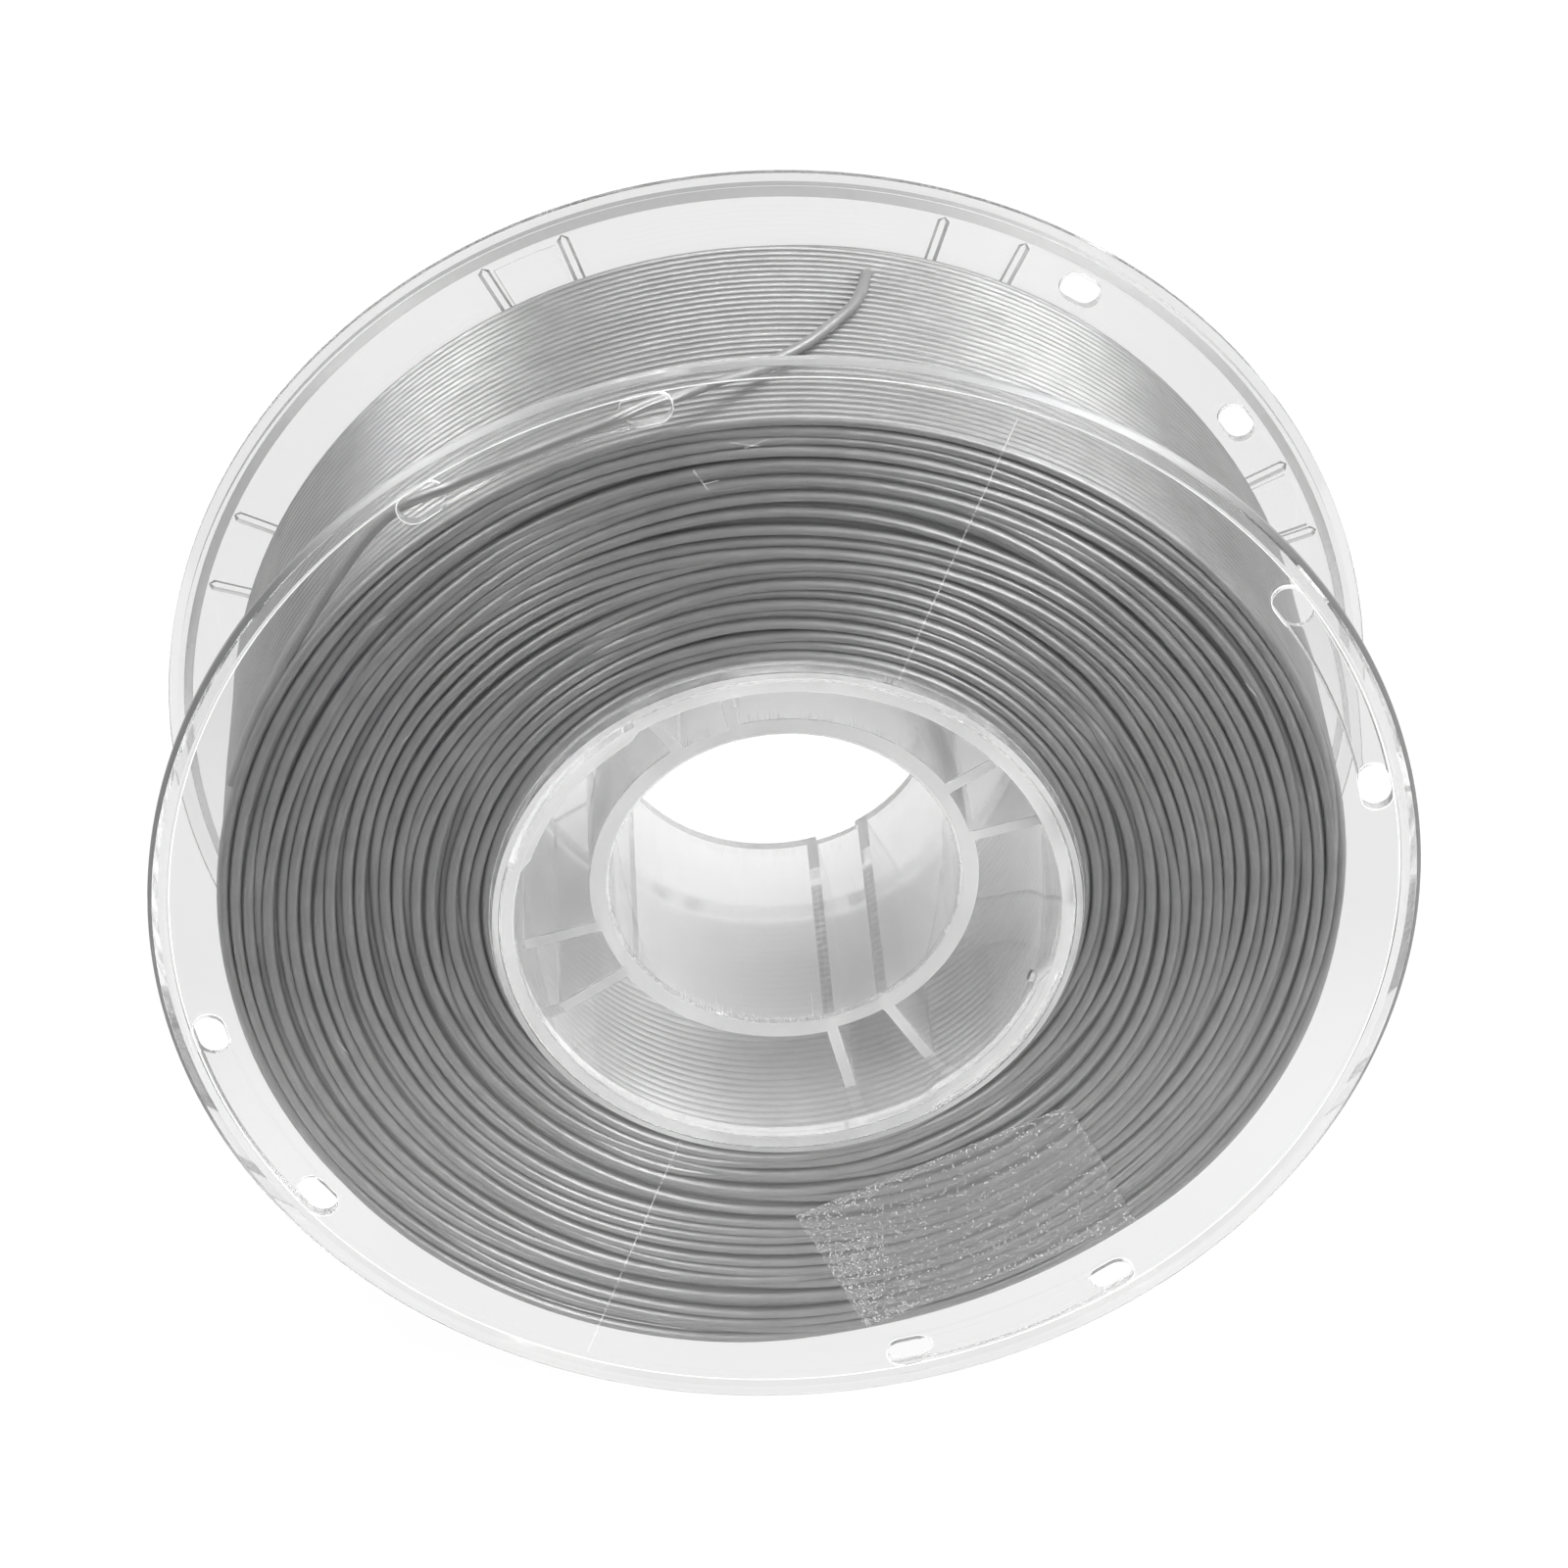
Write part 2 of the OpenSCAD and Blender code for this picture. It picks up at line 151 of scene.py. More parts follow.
def rounded(corners, flat=0.05, steps=4):
    """A closed profile of (r, y, radius) corners, each rounded, with a short flat beside each round."""
    out = []
    n = len(corners)
    for i, (r, y, rad) in enumerate(corners):
        p = Vector((r, y))
        a = Vector(corners[i - 1][:2]) - p
        b = Vector(corners[(i + 1) % n][:2]) - p
        la, lb = a.length, b.length
        a, b = a / la, b / lb
        if rad <= 0:
            out.append((r, y))
            continue
        half = a.angle(b) / 2
        cut = rad / math.tan(half)
        middle = p + (a + b).normalized() * rad / math.sin(half)
        start, end = p + a * cut, p + b * cut
        if la > 2 * (cut + 3 * flat):
            out.append(tuple(p + a * (cut + flat)))
        s, e = start - middle, end - middle
        turn = s.angle_signed(e)
        for k in range(steps + 1):
            c, d = math.cos(-turn * k / steps), math.sin(-turn * k / steps)
            out.append((middle.x + c * s.x - d * s.y, middle.y + d * s.x + c * s.y))
        if lb > 2 * (cut + 3 * flat):
            out.append(tuple(p + b * (cut + flat)))
    return out


def revolve(name, profile, segments=384):
    """A closed ring from a profile of (r, y), turned about the Y axis."""
    n = len(profile)
    verts = [polar(r, 360 * s / segments, y) for s in range(segments) for r, y in profile]
    faces = []
    for s in range(segments):
        t = (s + 1) % segments
        for i in range(n):
            j = (i + 1) % n
            faces.append((s * n + i, s * n + j, t * n + j, t * n + i))
    return outward(mesh_object(name, verts, faces))


def loft(name, loops):
    """A closed solid through loops of points, all of one length."""
    n = len(loops[0])
    verts = [p for loop in loops for p in loop]
    faces = [tuple(range(n))[::-1], tuple(range((len(loops) - 1) * n, len(loops) * n))]
    for k in range(len(loops) - 1):
        for i in range(n):
            j = (i + 1) % n
            faces.append((k * n + i, k * n + j, (k + 1) * n + j, (k + 1) * n + i))
    return outward(mesh_object(name, verts, faces))


def stadium_loop(r, angle, width, length, grow, y, steps=12):
    """A loop with two round ends that lies along the rim."""
    w, straight = width / 2 + grow, (length - width) / 2
    a = math.radians(angle)
    out = []
    for end in (1, -1):
        for k in range(steps + 1):
            t = math.pi * k / steps + (0 if end > 0 else math.pi)
            u, v = w * math.cos(t), w * math.sin(t) + end * straight
            out.append(Vector((
                ((r + u) * math.cos(a) - v * math.sin(a)) * MM, y * MM,
                ((r + u) * math.sin(a) + v * math.cos(a)) * MM)))
    return out


def hole_cutter(r, angle, width, length, sign, edge=0.1):
    """Cuts a stadium hole through a web, with its two edges broken."""
    levels = [(WEB + 1, edge + 1), (WEB - edge, 0), (INNER + edge, 0), (INNER - 1, edge + 1)]
    return loft("cutter", [
        stadium_loop(r, angle, width, length, grow, sign * y) for y, grow in levels])


def arc_block(r0, r1, y0, y1, start, span, steps=24):
    """A block between two radii, two heights and two angles, for cutting or joining."""
    loops = []
    for k in range(steps + 1):
        a = start + span * k / steps
        loops.append([polar(r0, a, y0), polar(r1, a, y0), polar(r1, a, y1), polar(r0, a, y1)])
    return loft("block", loops)


def groove_cutter(start, span, steps=32):
    """The shallow groove between two holes: sloped walls, deeper beside the holes."""
    loops = []
    for k in range(steps + 1):
        a = start + span * k / steps
        deep = GROOVE * (0.55 + 0.45 * abs(2 * k / steps - 1) ** 2)
        half = HOLE_W / 2
        wall = [(half - 0.05, -1), (half - 0.05, 0), (half - 0.3, deep * 0.85), (half - 0.6, deep)]
        section = [(-w, y) for w, y in wall] + wall[::-1]
        loops.append([polar(HOLE_R + w, a, y - WEB) for w, y in section])
    return loft("groove", loops)


def join(name, obs):
    """Joins objects into the first of them."""
    bpy.ops.object.select_all(action="DESELECT")
    for o in obs:
        o.select_set(True)
    bpy.context.view_layer.objects.active = obs[0]
    bpy.ops.object.join()
    obs[0].name = name
    return obs[0]


def made(ob):
    """The object's mesh as its modifiers make it."""
    return bpy.data.meshes.new_from_object(ob.evaluated_get(bpy.context.evaluated_depsgraph_get()))


def boolean(ob, other, operation):
    """Cuts the other object out of the first or adds it, and deletes the other."""
    m = ob.modifiers.new("cut", "BOOLEAN")
    m.operation, m.solver, m.object = operation, "EXACT", other
    m.use_self = operation == "UNION"
    mesh = made(ob)
    ob.modifiers.clear()
    ob.data = mesh
    bpy.data.objects.remove(other)


def finish_solid(ob, angle=28):
    """Closes a cut solid, makes it smooth but for edges over the angle, and keeps its flats flat."""
    bm = bmesh.new()
    bm.from_mesh(ob.data)
    bmesh.ops.remove_doubles(bm, verts=bm.verts, dist=1e-6)
    bmesh.ops.dissolve_degenerate(bm, dist=1e-7, edges=bm.edges)
    bmesh.ops.recalc_face_normals(bm, faces=bm.faces)
    bm.to_mesh(ob.data)
    bm.free()
    ob.data.polygons.foreach_set("use_smooth", [True] * len(ob.data.polygons))
    ob.data.set_sharp_from_angle(angle=math.radians(angle))
    m = ob.modifiers.new("flats", "WEIGHTED_NORMAL")
    m.keep_sharp, m.weight = True, 80
    mesh = made(ob)
    ob.modifiers.clear()
    ob.data = mesh


def paint(ob, finishes, choose):
    """Gives each face the finish that choose says."""
    ob.data.materials.clear()
    for m in finishes:
        ob.data.materials.append(m)
    for f in ob.data.polygons:
        c = f.center / MM
        f.material_index = finishes.index(choose(math.hypot(c.x, c.z), c.y, abs(f.normal.y)))


# ---------------------------------------------------------------- camera
camera = bpy.data.objects.new("camera", bpy.data.cameras.new("camera"))
bpy.context.scene.collection.objects.link(camera)
bpy.context.scene.camera = camera
right = Vector((0.998686, -0.051242, 0.0)).normalized()
back = Vector((-0.042320, -0.824809, 0.563826)).normalized()
up = back.cross(right)
camera.matrix_world = Matrix.Translation(Vector((-31.456, -631.823, 436.527)) * MM) @ Matrix(
    (right, up, back)).transposed().to_4x4()
camera.data.sensor_width = 36.0
camera.data.lens = 108.608
camera.data.clip_start, camera.data.clip_end = 0.01, 50.0

bpy.context.scene.view_settings.view_transform = "Standard"
for bounces in ("max_bounces", "glossy_bounces", "transmission_bounces", "transparent_max_bounces"):
    setattr(bpy.context.scene.cycles, bounces, 32)


# ---------------------------------------------------------------- materials
def lamps_pass(tree, shader):
    """Clear plastic bends what the eye sees through it, but the lamps' light passes straight through."""
    path = add(tree, "ShaderNodeLightPath")
    direct = add(tree, "ShaderNodeMath", operation="MAXIMUM",
                 i0=path.outputs["Is Shadow Ray"], i1=path.outputs["Is Diffuse Ray"])
    clear = add(tree, "ShaderNodeBsdfTransparent", i_Color=linear("#FAFAFA"))
    mix = add(tree, "ShaderNodeMixShader", i0=direct.outputs[0], i1=shader, i2=clear.outputs[0])
    add(tree, "ShaderNodeOutputMaterial", i_Surface=mix.outputs[0])


def near_line(t, x, z, ends, width, place):
    """1 within half a width of the line from one end to the other, on the flange's face, in millimetres."""
    (x0, z0), (x1, z1) = ends
    long = math.hypot(x1 - x0, z1 - z0)
    ux, uz = (x1 - x0) / long, (z1 - z0) / long
    wobble = add(t, "ShaderNodeTexNoise", i_Vector=place, i_Scale=160.0, i_Detail=2.0)
    off = add(t, "ShaderNodeMath", operation="MULTIPLY_ADD",
              i0=wobble.outputs["Fac"], i1=0.5, i2=-0.25)

    def turned(p, q, shift):
        a = add(t, "ShaderNodeMath", operation="MULTIPLY_ADD", i0=x, i1=p, i2=shift)
        return add(t, "ShaderNodeMath", operation="MULTIPLY_ADD", i0=z, i1=q, i2=a.outputs[0]).outputs[0]

    along = turned(ux, uz, -(x0 * ux + z0 * uz))
    across = add(t, "ShaderNodeMath", operation="ADD",
                 i0=turned(-uz, ux, x0 * uz - z0 * ux), i1=off.outputs[0])
    middle = add(t, "ShaderNodeMath", operation="COMPARE", i0=along, i1=long / 2, i2=long / 2)
    close = add(t, "ShaderNodeMath", operation="COMPARE", i0=across.outputs[0], i1=0.0, i2=width / 2)
    both = add(t, "ShaderNodeMath", operation="MULTIPLY", i0=middle.outputs[0], i1=close.outputs[0])
    return both.outputs[0]


def on_face(r, angle):
    """The (x, z) of a point on a flange's face, in millimetres."""
    return r * math.cos(math.radians(angle)), r * math.sin(math.radians(angle))


WELD_IN, WELD_OUT = 46.8, 95.0
# Lines on the front flange's face, each from (x, z) to (x, z) in millimetres, and their widths.
WELD_LINES = [(on_face(WELD_IN, a), on_face(WELD_OUT, b)) for a, b in ((-111.5, -110.6), (68.8, 69.1))]
SCRATCHES = [((-57.4, 36.2), (-58.9, 34.6)), ((-8.6, 86.0), (-4.2, 85.2)), ((-6.4, 84.9), (-3.0, 86.3)),
             ((-13.9, 81.5), (-11.8, 77.9)), ((-12.4, 79.0), (-10.2, 79.6)), ((38.0, -70.2), (41.5, -69.0)),
             ((-72.0, -22.0), (-70.1, -25.0)), ((70.2, 41.1), (72.0, 38.7)), ((-62.5, 56.0), (-60.4, 57.3))]
MARKS = [(ends, 0.15) for ends in WELD_LINES] + [(ends, 0.14) for ends in SCRATCHES]
# Where a core was pulled: the depth it starts from, how far it reaches, and how white its streaks are.
PULLED = ((-TUBE_END, 4.5, 0.09), (WEB, -9.0, 0.03))


def polystyrene(name, roughness, haze, colour, ripple=0.2, marks=False, drag=False):
    """Crystal polystyrene. Haze is the share of light that its skin scatters, ripple the faint waves of its
    cooling, marks the weld lines and light scratches, and drag the streaks that a pulled core leaves."""
    m = new_material(name)
    t = m.node_tree
    place = add(t, "ShaderNodeTexCoord").outputs["Object"]
    waves = add(t, "ShaderNodeTexNoise", i_Vector=place, i_Scale=42.0, i_Detail=1.0)
    skin = add(t, "ShaderNodeBump", i_Strength=ripple, i_Distance=0.0002, i_Height=waves.outputs["Fac"])
    cloud = add(t, "ShaderNodeTexNoise", i_Vector=place, i_Scale=45.0, i_Detail=4.0)
    uneven = add(t, "ShaderNodeMapRange", i_Value=cloud.outputs["Fac"],
                 i_From_Min=0.35, i_From_Max=0.7, i_To_Min=haze * 0.75, i_To_Max=haze * 1.25)
    white = uneven.outputs[0]
    if marks or drag:
        axes = add(t, "ShaderNodeSeparateXYZ", i_Vector=place)
        x, y, z = (add(t, "ShaderNodeMath", operation="MULTIPLY", i0=axes.outputs[k], i1=1000.0).outputs[0]
                   for k in range(3))
    if marks:
        face = add(t, "ShaderNodeMath", operation="LESS_THAN", i0=y, i1=0.1 - WEB)
        for ends, width in MARKS:
            line = near_line(t, x, z, ends, width, place)
            line = add(t, "ShaderNodeMath", operation="MULTIPLY", i0=line, i1=face.outputs[0]).outputs[0]
            white = add(t, "ShaderNodeMath", operation="MULTIPLY_ADD", i0=line, i1=0.3, i2=white).outputs[0]
    if drag:
        turn = add(t, "ShaderNodeMath", operation="ARCTAN2", i0=z, i1=x)
        lane = add(t, "ShaderNodeMath", operation="MULTIPLY", i0=turn.outputs[0], i1=38.0)
        slow = add(t, "ShaderNodeMath", operation="MULTIPLY", i0=y, i1=0.02)
        streak_at = add(t, "ShaderNodeCombineXYZ", i_X=lane.outputs[0], i_Y=slow.outputs[0])
        streak = add(t, "ShaderNodeTexNoise", i_Vector=streak_at.outputs[0], i_Scale=2.2, i_Detail=3.0)
        for start, run, strength in PULLED:
            reach = add(t, "ShaderNodeMapRange", i_Value=y,
                        i_From_Min=start, i_From_Max=start + run, i_To_Min=0.47, i_To_Max=0.72)
            on = add(t, "ShaderNodeMath", operation="GREATER_THAN",
                     i0=streak.outputs["Fac"], i1=reach.outputs[0])
            white = add(t, "ShaderNodeMath", operation="MULTIPLY_ADD",
                        i0=on.outputs[0], i1=strength, i2=white).outputs[0]
    clear = add(t, "ShaderNodeMath", operation="SUBTRACT", use_clamp=True, i0=1.0, i1=white)
    p = add(t, "ShaderNodeBsdfPrincipled", i_Base_Color=linear(colour), i_Roughness=roughness,
            i_IOR=1.57, i_Transmission_Weight=clear.outputs[0], i_Normal=skin.outputs[0])
    lamps_pass(t, p.outputs[0])
    return m


def edge_painted_shade():
    """The front rim's outer edge: a dark grey painted on it, painted shade strong at the sides and fading out
    low down, draws the flange's grey outline.
    """
    m = new_material("crystal_polystyrene_edge_painted_shade")
    t = m.node_tree
    place = add(t, "ShaderNodeTexCoord").outputs["Object"]
    axes = add(t, "ShaderNodeSeparateXYZ", i_Vector=place)
    aside = add(t, "ShaderNodeMath", operation="ABSOLUTE", i0=axes.outputs["X"])
    wide = add(t, "ShaderNodeMapRange", interpolation_type="SMOOTHSTEP", i_Value=aside.outputs[0],
               i_From_Min=0.03, i_From_Max=0.08, i_To_Min=0.1, i_To_Max=0.9)
    high = add(t, "ShaderNodeMapRange", interpolation_type="SMOOTHSTEP", i_Value=axes.outputs["Z"],
               i_From_Min=-0.08, i_From_Max=-0.03)
    # Painted shade: the dark grey is strong at the sides, faint at the top middle and gone low down.
    shade_painted = add(t, "ShaderNodeMath", operation="MULTIPLY", i0=wide.outputs[0], i1=high.outputs[0])
    clear = add(t, "ShaderNodeMath", operation="SUBTRACT", use_clamp=True, i0=1.0, i1=shade_painted.outputs[0])
    grey = add(t, "ShaderNodeMix", data_type="RGBA",
               i0=shade_painted.outputs[0], i6=linear("#F7F7F7"), i7=linear("#303030"))
    p = add(t, "ShaderNodeBsdfPrincipled", i_Base_Color=grey.outputs[2], i_Roughness=0.3,
            i_IOR=1.57, i_Specular_IOR_Level=0.25, i_Transmission_Weight=clear.outputs[0])
    lamps_pass(t, p.outputs[0])
    return m


def pla_strand():
    """Extruded PLA strand: a nearly even grey with a fine grain, in part metallic for its strong sheen."""
    m = new_material("pla_filament_satin_grey")
    t = m.node_tree
    place = add(t, "ShaderNodeTexCoord").outputs["Object"]
    tone = add(t, "ShaderNodeTexNoise", i_Vector=place, i_Scale=180.0, i_Detail=3.0)
    ramp = add(t, "ShaderNodeMapRange", i_Value=tone.outputs["Fac"], i_From_Min=0.3, i_From_Max=0.7)
    colour = add(t, "ShaderNodeMix", data_type="RGBA", i0=ramp.outputs[0],
                 i6=linear("#7F7F7F"), i7=linear("#888888"))
    skin = add(t, "ShaderNodeTexNoise", i_Vector=place, i_Scale=2200.0, i_Detail=2.0)
    bump = add(t, "ShaderNodeBump", i_Strength=0.15, i_Distance=0.00003,
               i_Height=skin.outputs["Fac"])
    p = add(t, "ShaderNodeBsdfPrincipled", i_Base_Color=colour.outputs[2], i_Roughness=0.35,
            i_Metallic=0.55, i_IOR=1.5, i_Normal=bump.outputs[0])
    add(t, "ShaderNodeOutputMaterial", i_Surface=p.outputs[0])
    return m


def film_tape():
    """Clear polypropylene tape: a film over its glue, which blurs what lies below and holds air blisters."""
    m = new_material("polypropylene_tape_clear")
    t = m.node_tree
    place = add(t, "ShaderNodeTexCoord").outputs["Object"]
    local = add(t, "ShaderNodeMapping", vector_type="TEXTURE", i_Vector=place,
                i_Location=(TAPE_X * MM, 0, TAPE_Z * MM), i_Rotation=(0, -math.radians(TAPE_TURN), 0))
    axes = add(t, "ShaderNodeSeparateXYZ", i_Vector=local.outputs[0])
    u = add(t, "ShaderNodeMath", operation="MULTIPLY", i0=axes.outputs["X"], i1=1000 / (TAPE_L / 2))
    v = add(t, "ShaderNodeMath", operation="MULTIPLY", i0=axes.outputs["Z"], i1=1000 / (TAPE_W / 2))
    # How much air is under the film, from its edges inward, in a patch and by chance.
    left = add(t, "ShaderNodeMapRange", i_Value=u.outputs[0],
               i_From_Min=-1.0, i_From_Max=-0.35, i_To_Min=1.0, i_To_Max=0.0)
    tall = add(t, "ShaderNodeMath", operation="ABSOLUTE", i0=v.outputs[0])
    rim = add(t, "ShaderNodeMapRange", i_Value=tall.outputs[0],
              i_From_Min=0.86, i_From_Max=1.0, i_To_Min=0.0, i_To_Max=0.8)
    right = add(t, "ShaderNodeMapRange", i_Value=u.outputs[0],
                i_From_Min=0.96, i_From_Max=1.0, i_To_Min=0.0, i_To_Max=0.9)
    loose = add(t, "ShaderNodeTexNoise", i_Vector=place, i_Scale=150.0, i_Detail=2.0)
    air = add(t, "ShaderNodeMath", operation="ADD", i0=left.outputs[0], i1=rim.outputs[0])
    air = add(t, "ShaderNodeMath", operation="ADD", i0=air.outputs[0], i1=right.outputs[0])
    patch_u = add(t, "ShaderNodeMath", operation="MULTIPLY_ADD", i0=u.outputs[0], i1=1.8, i2=1.42)
    patch_at = add(t, "ShaderNodeCombineXYZ", i_X=patch_u.outputs[0], i_Y=v.outputs[0])
    off = add(t, "ShaderNodeVectorMath", operation="LENGTH", i0=patch_at.outputs[0])
    patch = add(t, "ShaderNodeMapRange", i_Value=off.outputs["Value"],
                i_From_Min=0.1, i_From_Max=0.42, i_To_Min=1.1, i_To_Max=0.0)
    air = add(t, "ShaderNodeMath", operation="ADD", i0=air.outputs[0], i1=patch.outputs[0])
    air = add(t, "ShaderNodeMath", operation="MULTIPLY_ADD",
              i0=air.outputs[0], i1=loose.outputs["Fac"], i2=0.2)
    # Each cell of a bent Voronoi pattern holds a blister where that air is more than its own chance.
    bend = add(t, "ShaderNodeTexNoise", i_Vector=place, i_Scale=900.0, i_Detail=1.0)
    bent = add(t, "ShaderNodeVectorMath", operation="MULTIPLY_ADD",
               i0=bend.outputs["Color"], i1=(0.0006, 0.0006, 0.0006), i2=place)
    cells = add(t, "ShaderNodeTexVoronoi", i_Vector=bent.outputs[0], i_Scale=2200.0)
    chance = add(t, "ShaderNodeSeparateColor", i_Color=cells.outputs["Color"])
    there = add(t, "ShaderNodeMath", operation="LESS_THAN", i0=chance.outputs[0], i1=air.outputs[0])
    dome = add(t, "ShaderNodeMapRange", i_Value=cells.outputs["Distance"],
               i_From_Min=0.1, i_From_Max=0.45, i_To_Min=1.0, i_To_Max=0.0)
    some = add(t, "ShaderNodeMath", operation="MULTIPLY_ADD", i0=chance.outputs[1], i1=0.6, i2=0.4)
    size = add(t, "ShaderNodeMath", operation="MULTIPLY", i0=some.outputs[0], i1=dome.outputs[0])
    blister = add(t, "ShaderNodeMath", operation="MULTIPLY", i0=there.outputs[0], i1=size.outputs[0])
    waves = add(t, "ShaderNodeTexNoise", i_Vector=place, i_Scale=600.0, i_Detail=4.0)
    bump = add(t, "ShaderNodeBump", i_Strength=0.25, i_Distance=0.0001,
               i_Height=waves.outputs["Fac"])
    bump = add(t, "ShaderNodeBump", i_Strength=0.9, i_Distance=0.0002,
               i_Height=blister.outputs[0], i_Normal=bump.outputs[0])
    clear = add(t, "ShaderNodeMath", operation="MULTIPLY_ADD", i0=blister.outputs[0], i1=-0.8, i2=0.965)
    p = add(t, "ShaderNodeBsdfPrincipled", i_Base_Color=linear("#DFDFDF"), i_Roughness=0.17,
            i_IOR=1.5, i_Transmission_Weight=clear.outputs[0], i_Normal=bump.outputs[0])
    lamps_pass(t, p.outputs[0])
    return m


# Polished mould: glassy flanges that bend what lies behind them only a little.
CLEAR = polystyrene("crystal_polystyrene_polished", roughness=0.02, haze=0.008, colour="#F7F7F7", ripple=0.02)
# The front flange also bears the two weld lines where the melt met, and the scratches of handling.
CLEAR_MARKED = polystyrene(
    "crystal_polystyrene_polished_marked", roughness=0.02, haze=0.008, colour="#F7F7F7", ripple=0.02,
    marks=True)
# The walls of the holes: the pins that form them leave a fine grain, which softens their edges.
PINNED = polystyrene(
    "crystal_polystyrene_pin_marked", roughness=0.16, haze=0.2, colour="#EEEEEE", ripple=0.0)
# Broken edges of the holes and the tight fillet at the rim's foot: a white haze painted on them draws fine
# light lines, a painted highlight.
BROKEN_EDGE_HIGHLIGHT = polystyrene(
    "crystal_polystyrene_broken_edge_painted_highlight", roughness=0.3, haze=0.6, colour="#F8F8F8", ripple=0.0)
# The front rim's face: a faint white haze painted on it, painted light, whitens what lies behind.
RIM_FACE_LIGHT = polystyrene(
    "crystal_polystyrene_rim_painted_light", roughness=0.04, haze=0.05, colour="#F4F4F4", ripple=0.0)
# Steps and rib flanks on the rear of the rear flange: a grey painted on them as painted shade draws them as
# bars and bands.
STEP_SHADE = polystyrene(
    "crystal_polystyrene_step_painted_shade", roughness=0.3, haze=0.6, colour="#8C8C8C", ripple=0.0)
# The drum's wall and the plate ribs: clear enough to show the innermost turns, with a milky skin.
DRUM = polystyrene("crystal_polystyrene_milky", roughness=0.05, haze=0.2, colour="#F6F6F6")
# The bore tube: formed on a coarser core, which blurs and whitens what lies behind.
HAZY = polystyrene("crystal_polystyrene_hazy", roughness=0.08, haze=0.21, colour="#EFEFEF", drag=True)
# The front ends of the drum, tube and ribs: left matt by spark erosion, a white grain.
FROSTED = polystyrene(
    "crystal_polystyrene_frosted", roughness=0.45, haze=0.46, colour="#C4C4C4", ripple=0.3)
STRAND, TAPE, EDGE = pla_strand(), film_tape(), edge_painted_shade()


# ---------------------------------------------------------------- clear mouldings
def front_finish(r, y, slope):
    """The finish of a face of the front flange, by its radius, its depth and the |y| of its normal."""
    by_hole = HOLE_R - 3 < r < FOOT - 0.15 and -WEB < y < -INNER
    if abs(y + LIP) < 0.03:
        return FROSTED
    # The rim's outer edge gets painted shade.
    if r > FLANGE_R - 0.7:
        return EDGE
    # The rim's foot and the holes' broken edges below get a painted highlight.
    if FOOT - 0.15 < r < FOOT + 0.06 and y < -WEB - 0.001:
        return BROKEN_EDGE_HIGHLIGHT
    # The rim's face gets painted light.
    if r > FOOT - 0.1 and y < -WEB - 0.02:
        return RIM_FACE_LIGHT
    if by_hole and 0.3 < slope < 0.85 and not 0.1 - WEB < y < -0.1 - INNER:
        return BROKEN_EDGE_HIGHLIGHT
    if by_hole and slope < 0.85:
        return PINNED
    return CLEAR_MARKED


def hub_finish(r, y, slope):
    """The same for the hub, whose front ends are matt, because the mould was left so there."""
    if slope > 0.9 and (abs(y + TUBE_END) < 0.2 or abs(y + DRUM_END) < 0.06):
        return FROSTED
    if r < TUBE_R + 5:
        return HAZY
    if r < DRUM_R + 0.05 and y < INNER + 0.3:
        return DRUM
    if REAR_HOLE_R - 3.65 < r < FOOT - 1 and INNER < y < WEB - 0.75 and slope < 0.3:
        return PINNED
    # Steps and rib flanks get the grey of painted shade.
    if DRUM_R + 3 < r < FOOT + 1 and y > WEB - 0.75 and slope < 0.96:
        return STEP_SHADE
    return CLEAR


def front_flange():
    """A web with a rim, a lip round its central hole, parking holes and grooves."""
    web = revolve("clear_front_flange", rounded([
        (SPIGOT_R + 0.15, -INNER, 0.15),
        (BEVEL_R, -INNER, 0),
        (FLANGE_R, -INNER - 1.3, 0.25),
        (FLANGE_R, -RIM + 0.65, 0.35),
        (FLANGE_R - 0.65, -RIM, 0.35),
        (FOOT + 0.7, -RIM, 0.2),
        (FOOT, -WEB, 0.2),
        (LIP_R + 0.4, -WEB, 0.2),
        (LIP_R, -LIP, 0.2),
        (SPIGOT_R + 0.15, -LIP, 0.2),
    ]))
    cutters = []
    for k in range(4):
        middle = PAIR + 90 * k
        for side in (-1, 1):
            cutters.append(hole_cutter(HOLE_R, middle + side * HOLE_SPLIT / 2, HOLE_W, HOLE_L, -1))
    boolean(web, join("holes", cutters), "DIFFERENCE")
    grooves = [groove_cutter(PAIR + 90 * k - HOLE_SPLIT / 2, HOLE_SPLIT) for k in range(4)]
    boolean(web, join("grooves", grooves), "DIFFERENCE")
    finish_solid(web)
    paint(web, (CLEAR_MARKED, FROSTED, PINNED, RIM_FACE_LIGHT, EDGE, BROKEN_EDGE_HIGHLIGHT), front_finish)
    return web


def pad(start, span, steps=40):
    """The pad inside one latch: it thins out towards its ends and its rear."""
    loops = []
    for k in range(steps + 1):
        u = k / steps
        thick = PAD_T * min(1, 14 * u, 14 * (1 - u)) + 0.02
        a = start + span * u
        loops.append([polar(r, a, y) for r, y in (
            (DRUM_IN + 0.4, -DRUM_END + 0.03), (DRUM_IN - thick + 0.1, -DRUM_END + 0.03),
            (DRUM_IN - thick, -DRUM_END + 0.15), (DRUM_IN - thick, PAD_REAR),
            (DRUM_IN + 0.4, PAD_REAR + 0.5))])
    return loft("pad", loops)


def plate_rib(angle):
    """A rib that joins the tube and the drum, with broken edges at its front end."""
    at = beside(angle)
    loops = []
    # Depth and half width.
    for y, half in ((WEB - 0.02, RIB_T / 2), (-TUBE_END + 0.15, RIB_T / 2),
                    (-TUBE_END + 0.01, RIB_T / 2 - 0.12)):
        loops.append([at(TUBE_R - 1.2, -half, y), at(DRUM_IN + 0.9, -half, y),
                      at(DRUM_IN + 0.9, half, y), at(TUBE_R - 1.2, half, y)])
    return loft("rib", loops)


